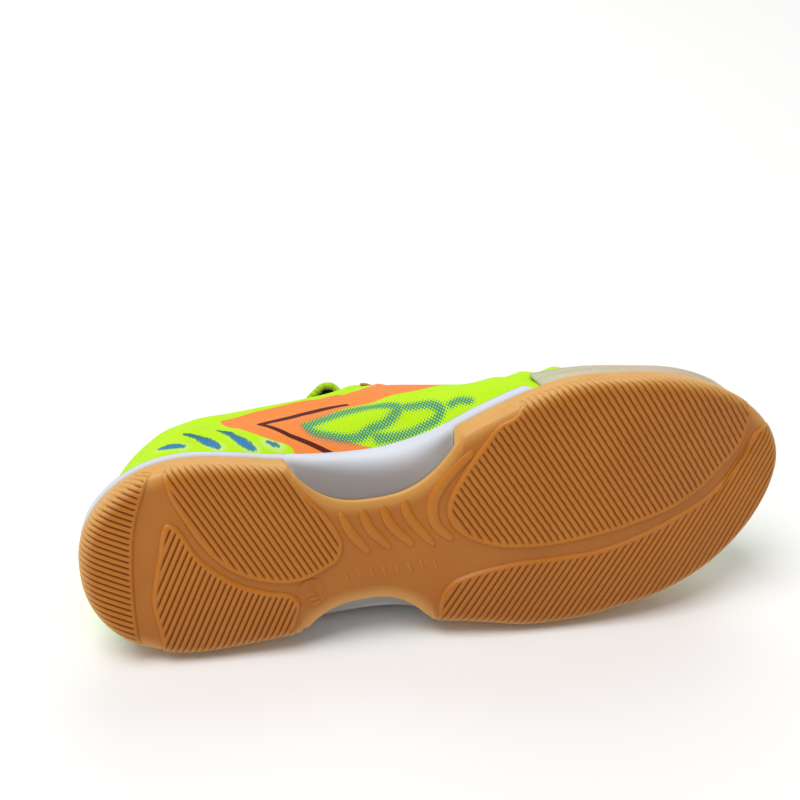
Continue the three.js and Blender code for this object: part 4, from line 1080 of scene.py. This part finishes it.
class Skin:
    """Quads over merged grids of points, with the smooth outward direction at each point."""

    def __init__(self, grids):
        points = np.concatenate([lines.reshape(-1, 3) for _, lines in grids])
        _, first, number = np.unique(np.round(points * 200).astype(np.int64), axis=0,
                                     return_index=True, return_inverse=True)
        number = number.reshape(-1)
        self.points = points[first]
        self.source = first
        faces, start = [], 0
        for side, lines in grids:
            count, rows = lines.shape[:2]
            quads = grid_faces(count, rows, start=start, flip=side == "medial")
            faces.append(number[quads])
            start += count * rows
        quads = np.concatenate(faces)
        a, b, c, d = (self.points[quads[:, k]] for k in range(4))
        out = np.cross(c - a, d - b)
        self.normals = np.zeros_like(self.points)
        for k in range(4):
            np.add.at(self.normals, quads[:, k], out)
        self.normals /= np.maximum(np.linalg.norm(self.normals, axis=1, keepdims=True), 1e-9)
        self.faces = clean_faces(quads.tolist())

    def shell(self, outer, inner, roll=0):
        """Points and faces of a closed sheet between two distances, with a rounded rim."""
        count = len(self.points)
        edges = set()
        for face in self.faces:
            for k in range(len(face)):
                edges.add((face[k], face[(k + 1) % len(face)]))
        rim = [(a, b) for a, b in edges if (b, a) not in edges]
        top = self.points + self.normals * np.broadcast_to(outer, (count,))[:, None]
        low = self.points + self.normals * np.broadcast_to(inner, (count,))[:, None]
        points, faces = [top, low], [list(f) for f in self.faces]
        faces += [[v + count for v in f[::-1]] for f in self.faces]
        slots = [0] * len(self.faces) + [1] * len(self.faces)
        rim_ids = sorted({v for edge in rim for v in edge})
        order = {v: k for k, v in enumerate(rim_ids)}
        tangent = np.zeros((len(rim_ids), 3))
        for a, b in rim:
            tangent[order[a]] += self.points[b] - self.points[a]
            tangent[order[b]] += self.points[b] - self.points[a]
        out = np.cross(tangent, self.normals[rim_ids])
        out /= np.maximum(np.linalg.norm(out, axis=1, keepdims=True), 1e-9)
        middle = (top[rim_ids] + low[rim_ids]) / 2
        half = np.linalg.norm(top[rim_ids] - low[rim_ids], axis=1, keepdims=True) / 2
        layers = [rim_ids]
        total = 2 * count
        for step in range(1, roll + 1):
            turn = math.pi * step / (roll + 1)
            points.append(middle + self.normals[rim_ids] * half * math.cos(turn) + out * half * math.sin(turn))
            layers.append([total + k for k in range(len(rim_ids))])
            total += len(rim_ids)
        layers.append([v + count for v in rim_ids])
        for near, far in zip(layers[:-1], layers[1:]):
            for a, b in rim:
                faces.append([near[order[b]], near[order[a]], far[order[a]], far[order[b]]])
                slots.append(0)
        kept = [(clean_faces([face]), slot) for face, slot in zip(faces, slots)]
        faces, slots = zip(*[(face[0], slot) for face, slot in kept if face])
        source = np.concatenate([np.arange(count), np.arange(count)] + [np.array(rim_ids)] * roll)
        return np.concatenate(points), faces, slots, source


def segment_distance(points, start, end):
    start, end = np.asarray(start, float), np.asarray(end, float)
    d = end - start
    t = np.clip(((points - start) @ d) / (d @ d), 0, 1)
    return np.hypot(*(points - start - t[:, None] * d).T), t


def path_distance(points, path):
    return np.min([segment_distance(points, a, b)[0] for a, b in zip(path[:-1], path[1:])], axis=0)


# Creases: side, start and end as share of the length and height, depth and half width in millimetres
CREASES = [
    ("both", (176, 26), (188, 52), 0.8, 3.4), ("both", (189, 25), (199, 49), 0.7, 3.2),
    ("both", (165, 30), (178, 58), 0.5, 3.2), ("medial", (118, 33), (136, 27), 0.6, 3.4),
    ("medial", (44, 56), (58, 40), 0.7, 4.0), ("lateral", (48, 55), (62, 38), 0.8, 4.0),
    ("medial", (98, 58), (116, 46), 0.5, 4.5), ("lateral", (102, 60), (122, 44), 0.6, 4.5),
    ("medial", (28, 50), (40, 46), 0.5, 3.5)]


def upper_relief(points):
    """Soft creases, the heel counter's swell and small unevenness of the knit, along the outward direction."""
    flat = points[:, [0, 2]]
    relief = np.zeros(len(points))
    for side, start, end, depth, width in CREASES:
        distance, t = segment_distance(flat, start, end)
        on_side = 1.0 if side == "both" else smooth(points[:, 1] * SIGN[side], 2, 10)
        trough = np.exp(-(distance / width) ** 2) - 0.45 * np.exp(-((distance - 1.9 * width) / width) ** 2)
        relief -= depth * trough * on_side
    x, y, z = points.T
    relief += 0.25 * np.sin(x / 13 + y / 17) * np.sin(z / 9 + x / 29)
    relief += 0.5 * smooth(x, 48, 36) * smooth(z, 50, 44)
    return relief


def make_upper():
    at = rounded_shares(26, 150, UPPER_HEEL, UPPER_TOE)
    grids = [(side, upper_lines(side, at, 14, 40)) for side in ("medial", "lateral")]
    skin = Skin(grids)
    x, y, z = skin.points.T
    lines = np.stack([lines for _, lines in grids])
    climb = np.cumsum(np.linalg.norm(np.diff(lines, axis=2, prepend=lines[:, :, :1]), axis=3), 2)
    girth = climb.ravel()[skin.source]
    from_top = (climb[:, :, -1:] - climb).ravel()[skin.source]
    collar = smooth(x, 125, 112)
    low = smooth(girth, 5.0, 12.0)
    bead = collar * np.exp(-((from_top - 5.5) / 4.5) ** 2)
    relief = upper_relief(skin.points) * low * smooth(from_top, 0, 8) + 0.9 * bead
    # A stitched-down line under the padded collar
    relief -= 0.45 * collar * np.exp(-((from_top - 12.5) / 1.3) ** 2) * low
    inner = -KNIT_WALL - 2.2 * collar * smooth(from_top, 22, 8) * smooth(from_top, -2, 3)
    points, faces, slots, source = skin.shell(relief, inner, roll=4)
    flat = skin.points[:, [0, 2]]
    chevron_path = catmull(CHEVRON, 5, closed=True)
    signed = edge_distance(flat, chevron_path) * np.where(inside_polygon(flat, chevron_path), -1, 1)
    ring = np.min([path_distance(flat, catmull(path, 6)) for path in RINGS], axis=0)
    attributes = {"along": x, "girth": girth * np.where(y < 0, -1, 1), "chevron": signed, "ring": ring}
    piece = add_mesh("upper_knit", points, faces, [KNIT, LINING_AND_HOLE_SHADE],
                     {key: values[source] for key, values in attributes.items()}, slots)
    place_piece(piece, "upper")


def make_guard():
    at = mix(GUARD_START, 1.0, np.linspace(0, 1, 90) ** 0.8)
    toe = UPPER_TOE + (1 - UPPER_TOE) * np.sin(np.linspace(0, math.pi / 2, 40))
    at = np.concatenate([at[at < UPPER_TOE], toe])
    grids = [(side, upper_lines(side, at, 14, 40)[:, 2:16]) for side in ("medial", "lateral")]
    skin = Skin(grids)
    x, y, z = skin.points.T
    seam = 0.35 * np.exp(-((z - (24 + 0.02 * (x - 190))) / 0.8) ** 2)
    outer = GAP + GUARD_THICK - seam + 0.12 * np.sin(x / 7) * np.sin(z / 3)
    points, faces, _, source = skin.shell(outer, GAP, roll=2)
    piece = add_mesh("toe_guard_film", points, faces, [FILM], {"along": x[source], "girth": z[source]})
    place_piece(piece, "toe_guard")


def make_stay():
    at = np.linspace(0.402, 0.706, 100)
    grids = []
    for side in ("medial", "lateral"):
        top = top_rise(side, at)
        rises = np.linspace(0.675, 1.0, 16)
        grids.append((side, np.stack([last_point(side, at, top * r) for r in rises], 1)))
    skin = Skin(grids)
    points, faces, _, _ = skin.shell(GAP + STAY_THICK, GAP, roll=2)
    place_piece(add_mesh("eyestay_film", points, faces, [STAY]), "eyestay")


def last_outward(side, at, rise):
    step = 0.004
    along = last_point(side, at + step, rise) - last_point(side, at - step, rise)
    up = last_point(side, at, min(rise + step, 1)) - last_point(side, at, rise - step)
    out = np.cross(up, along)
    out /= np.linalg.norm(out)
    return -out if side == "medial" else out


def make_eyelets():
    """A punched hole's raised rim and its dark inside, a floor of dark lining cloth that is painted shade, at each
    eyelet.
    """
    for side in ("medial", "lateral"):
        for number, at in enumerate(EYELETS):
            rise = float(rise_across(side, at, throat_gap(np.array([at]))[0] + EYELET_SETBACK)[0])
            out = last_outward(side, at, rise)
            centre = last_point(side, at, rise)
            first = np.cross(out, (1.0, 0, 0))
            first /= np.linalg.norm(first)
            second = np.cross(out, first)
            turn = np.linspace(0, 2 * math.pi, 28, endpoint=False)
            around = np.cos(turn)[:, None] * first + np.sin(turn)[:, None] * second
            level = GAP + STAY_THICK
            profile = [(3.3, level - 0.25), (3.2, level + 0.12), (2.85, level + 0.3), (2.45, level + 0.2),
                       (2.25, level - 0.1), (2.2, level - 0.5), (0.02, level - 0.6), (0.02, level - 0.75),
                       (3.2, level - 0.7)]
            rows = np.array([centre + around * radius + out * height for radius, height in profile])
            faces = torus_faces(len(profile), len(turn))
            # The faces from rows 5 and 6 make the hole's floor of dark lining cloth, painted shade for the hole's
            # depth
            slots = [1 if row in (5, 6) else 0 for row in range(len(profile)) for _ in turn]
            piece = add_mesh(f"eyelet_{side}_{number + 1}", rows.reshape(-1, 3), faces, [STAY, LINING_AND_HOLE_SHADE], None, slots)
            fix_normals(piece)
            place_piece(piece, None)


def make_tongue():
    count, columns = 70, 41
    index = np.linspace(0, len(TONGUE_ROWS) - 1, count)
    keyed = np.column_stack([np.arange(len(TONGUE_ROWS)), TONGUE_ROWS])
    at, half, lift, drop = (table_value(keyed, k, index) for k in (1, 2, 3, 4))
    raised = smooth(lift, 0.0, 0.035)[:, None]
    lines = []
    for share in np.linspace(-1, 1, columns):
        side = "medial" if share < 0 else "lateral"
        rise = rise_across(side, at, abs(share) * half * TONGUE_HALF)
        up = last_point(side, at, 1.0)
        up[:, 1] += share * half * TONGUE_HALF
        up[:, 2] += INSTEP * (lift - drop * share**2)
        lines.append(mix(last_point(side, at, rise), up, raised))
    skin = Skin([("lateral", np.stack(lines, 1))])
    if skin.normals[:, 2].mean() < 0:
        skin.normals *= -1
        skin.faces = [face[::-1] for face in skin.faces]
    x, y, z = skin.points.T
    # The wings stand a little prouder than the plain solid's
    row = (skin.source // columns) / (count - 1)
    outer = -(KNIT_WALL + TONGUE_CLEAR) + 2.5 * smooth(row, 0.66, 0.76)
    quilt = 0.4 * np.sin(y / 2.2) ** 2 * smooth(x, 150, 120)
    points, faces, slots, source = skin.shell(outer - quilt * 0.6, outer - TONGUE_THICK, roll=4)
    piece = add_mesh("tongue_pad", points, faces, [TONGUE_KNIT, LINING_AND_HOLE_SHADE],
                     {"along": x[source], "girth": y[source]}, slots)
    place_piece(piece, "tongue")


def lace_place(across, at):
    side = "medial" if across < 0 else "lateral"
    rise = float(rise_across(side, at, abs(across))[0])
    return last_point(side, at, rise), last_outward(side, at, min(rise, 0.99))


def make_laces():
    """Flat laces that cross the throat and dive into the eyelets."""
    lift = GAP + STAY_THICK + LACE_CLEAR + LACE_THICK / 2

    def across_of(side, at):
        return SIGN[side] * (throat_gap(np.array([at]))[0] + EYELET_SETBACK)
    bars = [(("medial", EYELETS[0]), ("lateral", EYELETS[0]), 0.0)]
    for near, far in zip(EYELETS[:-1], EYELETS[1:]):
        bars.append((("medial", near), ("lateral", far), 0.0))
        bars.append((("lateral", near), ("medial", far), 1.3))
    for number, (start, end, over) in enumerate(bars):
        t = np.linspace(0, 1, 33)
        centres, outs = [], []
        for s in t:
            eased = 0.5 - 0.5 * math.cos(math.pi * s) if over else s
            at = mix(start[1], end[1], s)
            across = mix(across_of(*start), across_of(*end), s)
            place, out = lace_place(across, at)
            near_end = min(s, 1 - s)
            height = lift * float(smooth(near_end, -0.02, 0.09)) - 1.6 * (1 - float(smooth(near_end, 0.0, 0.07)))
            height += over * float(smooth(near_end, 0.25, 0.45))
            centres.append(place + out * height)
            outs.append(out)
        centres, outs = np.array(centres), np.array(outs)
        tangent = np.gradient(centres, axis=0)
        tangent /= np.linalg.norm(tangent, axis=1, keepdims=True)
        sideways = np.cross(tangent, outs)
        sideways /= np.linalg.norm(sideways, axis=1, keepdims=True)
        outs = np.cross(sideways, tangent)
        width = LACE_WIDTH * (0.55 + 0.45 * smooth(np.minimum(t, 1 - t), 0.0, 0.12))
        turn = np.linspace(0, 2 * math.pi, 16, endpoint=False)
        u = np.sign(np.cos(turn)) * np.abs(np.cos(turn)) ** 0.55
        v = np.sign(np.sin(turn)) * np.abs(np.sin(turn)) ** 0.8
        rings = (centres[:, None] + sideways[:, None] * (u[None, :, None] * width[:, None, None] / 2)
                 + outs[:, None] * (v[None, :, None] * LACE_THICK / 2))
        length = np.concatenate([[0], np.cumsum(np.linalg.norm(np.diff(centres, axis=0), axis=1))])
        attributes = {"along": np.repeat(length, 16), "girth": (u[None] * width[:, None] / 2).ravel()}
        piece = ring_solid(f"lace_bar_{number + 1}", rings, [LACE], attributes)
        fix_normals(piece)
        place_piece(piece, "lace_crossings" if number == 0 else None)


for make in (make_cup, make_pods, make_waist, make_midsole, make_insole, make_upper, make_guard, make_stay,
             make_eyelets, make_tongue, make_laces):
    make()


def make_floor():
    low, high = (-2.2, -1.6), (2.2, 2.8)
    count = 24
    xs, ys = np.linspace(low[0], high[0], count), np.linspace(low[1], high[1], count)
    grid = np.array([[(x, y, 0.0) for y in ys] for x in xs]).reshape(-1, 3)
    mesh = bpy.data.meshes.new("studio_floor")
    mesh.from_pydata(grid.tolist(), [], grid_faces(count, count, flip=True).tolist())
    mesh.materials.append(floor_material())
    floor = bpy.data.objects.new("studio_floor", mesh)
    bpy.context.scene.collection.objects.link(floor)


make_floor()

# The camera: the photograph's place and angle, in the shoe's own frame
CAMERA_PLACE = (7.644, -210.240, -426.417)
CAMERA_RIGHT = (0.95695706, 0.00100253, -0.2902278)
CAMERA_UP = (0.12260315, -0.90778414, 0.40111896)
CAMERA_AHEAD = (0.26306206, 0.41943646, 0.86883336)
FOCAL_PIXELS, IMAGE = 1316.178, 800.0
CENTRE = (456.609, 513.679)

data = bpy.data.cameras.new("camera")
data.sensor_width = 36.0
data.lens = FOCAL_PIXELS / IMAGE * data.sensor_width
data.shift_x = (IMAGE / 2 - CENTRE[0]) / IMAGE
data.shift_y = (CENTRE[1] - IMAGE / 2) / IMAGE
data.clip_start, data.clip_end = 0.01, 20.0
camera = bpy.data.objects.new("camera", data)
bpy.context.scene.collection.objects.link(camera)
basis = np.column_stack([turn_row(CAMERA_RIGHT), turn_row(CAMERA_UP), -turn_row(CAMERA_AHEAD)])
matrix = Matrix.Identity(4)
for row in range(3):
    for column in range(3):
        matrix[row][column] = basis[row][column]
matrix.translation = Vector(to_row(CAMERA_PLACE))
camera.matrix_world = matrix
bpy.context.scene.camera = camera


def add_light(name, place, aim, size, power):
    light = bpy.data.lights.new(name, "AREA")
    light.shape = "RECTANGLE"
    light.size, light.size_y = size
    light.energy = power
    lamp = bpy.data.objects.new(name, light)
    bpy.context.scene.collection.objects.link(lamp)
    lamp.location = place
    lamp.rotation_euler = (Vector(aim) - Vector(place)).to_track_quat("-Z", "Y").to_euler()


add_light("key", (-1.2, -0.3, 3.0), (0.0, 0.0, 0.05), (2.1, 2.1), 76)
add_light("back", (0.8, 2.6, 2.6), (0.0, 0.3, 0.0), (3.0, 2.6), 40)

world = bpy.data.worlds.new("studio")
bpy.context.scene.world = world
world.use_nodes = True
world.node_tree.nodes["Background"].inputs[0].default_value = (1.0, 1.0, 1.0, 1.0)
world.node_tree.nodes["Background"].inputs[1].default_value = 0.36

view = bpy.context.scene.view_settings
view.view_transform = "Standard"
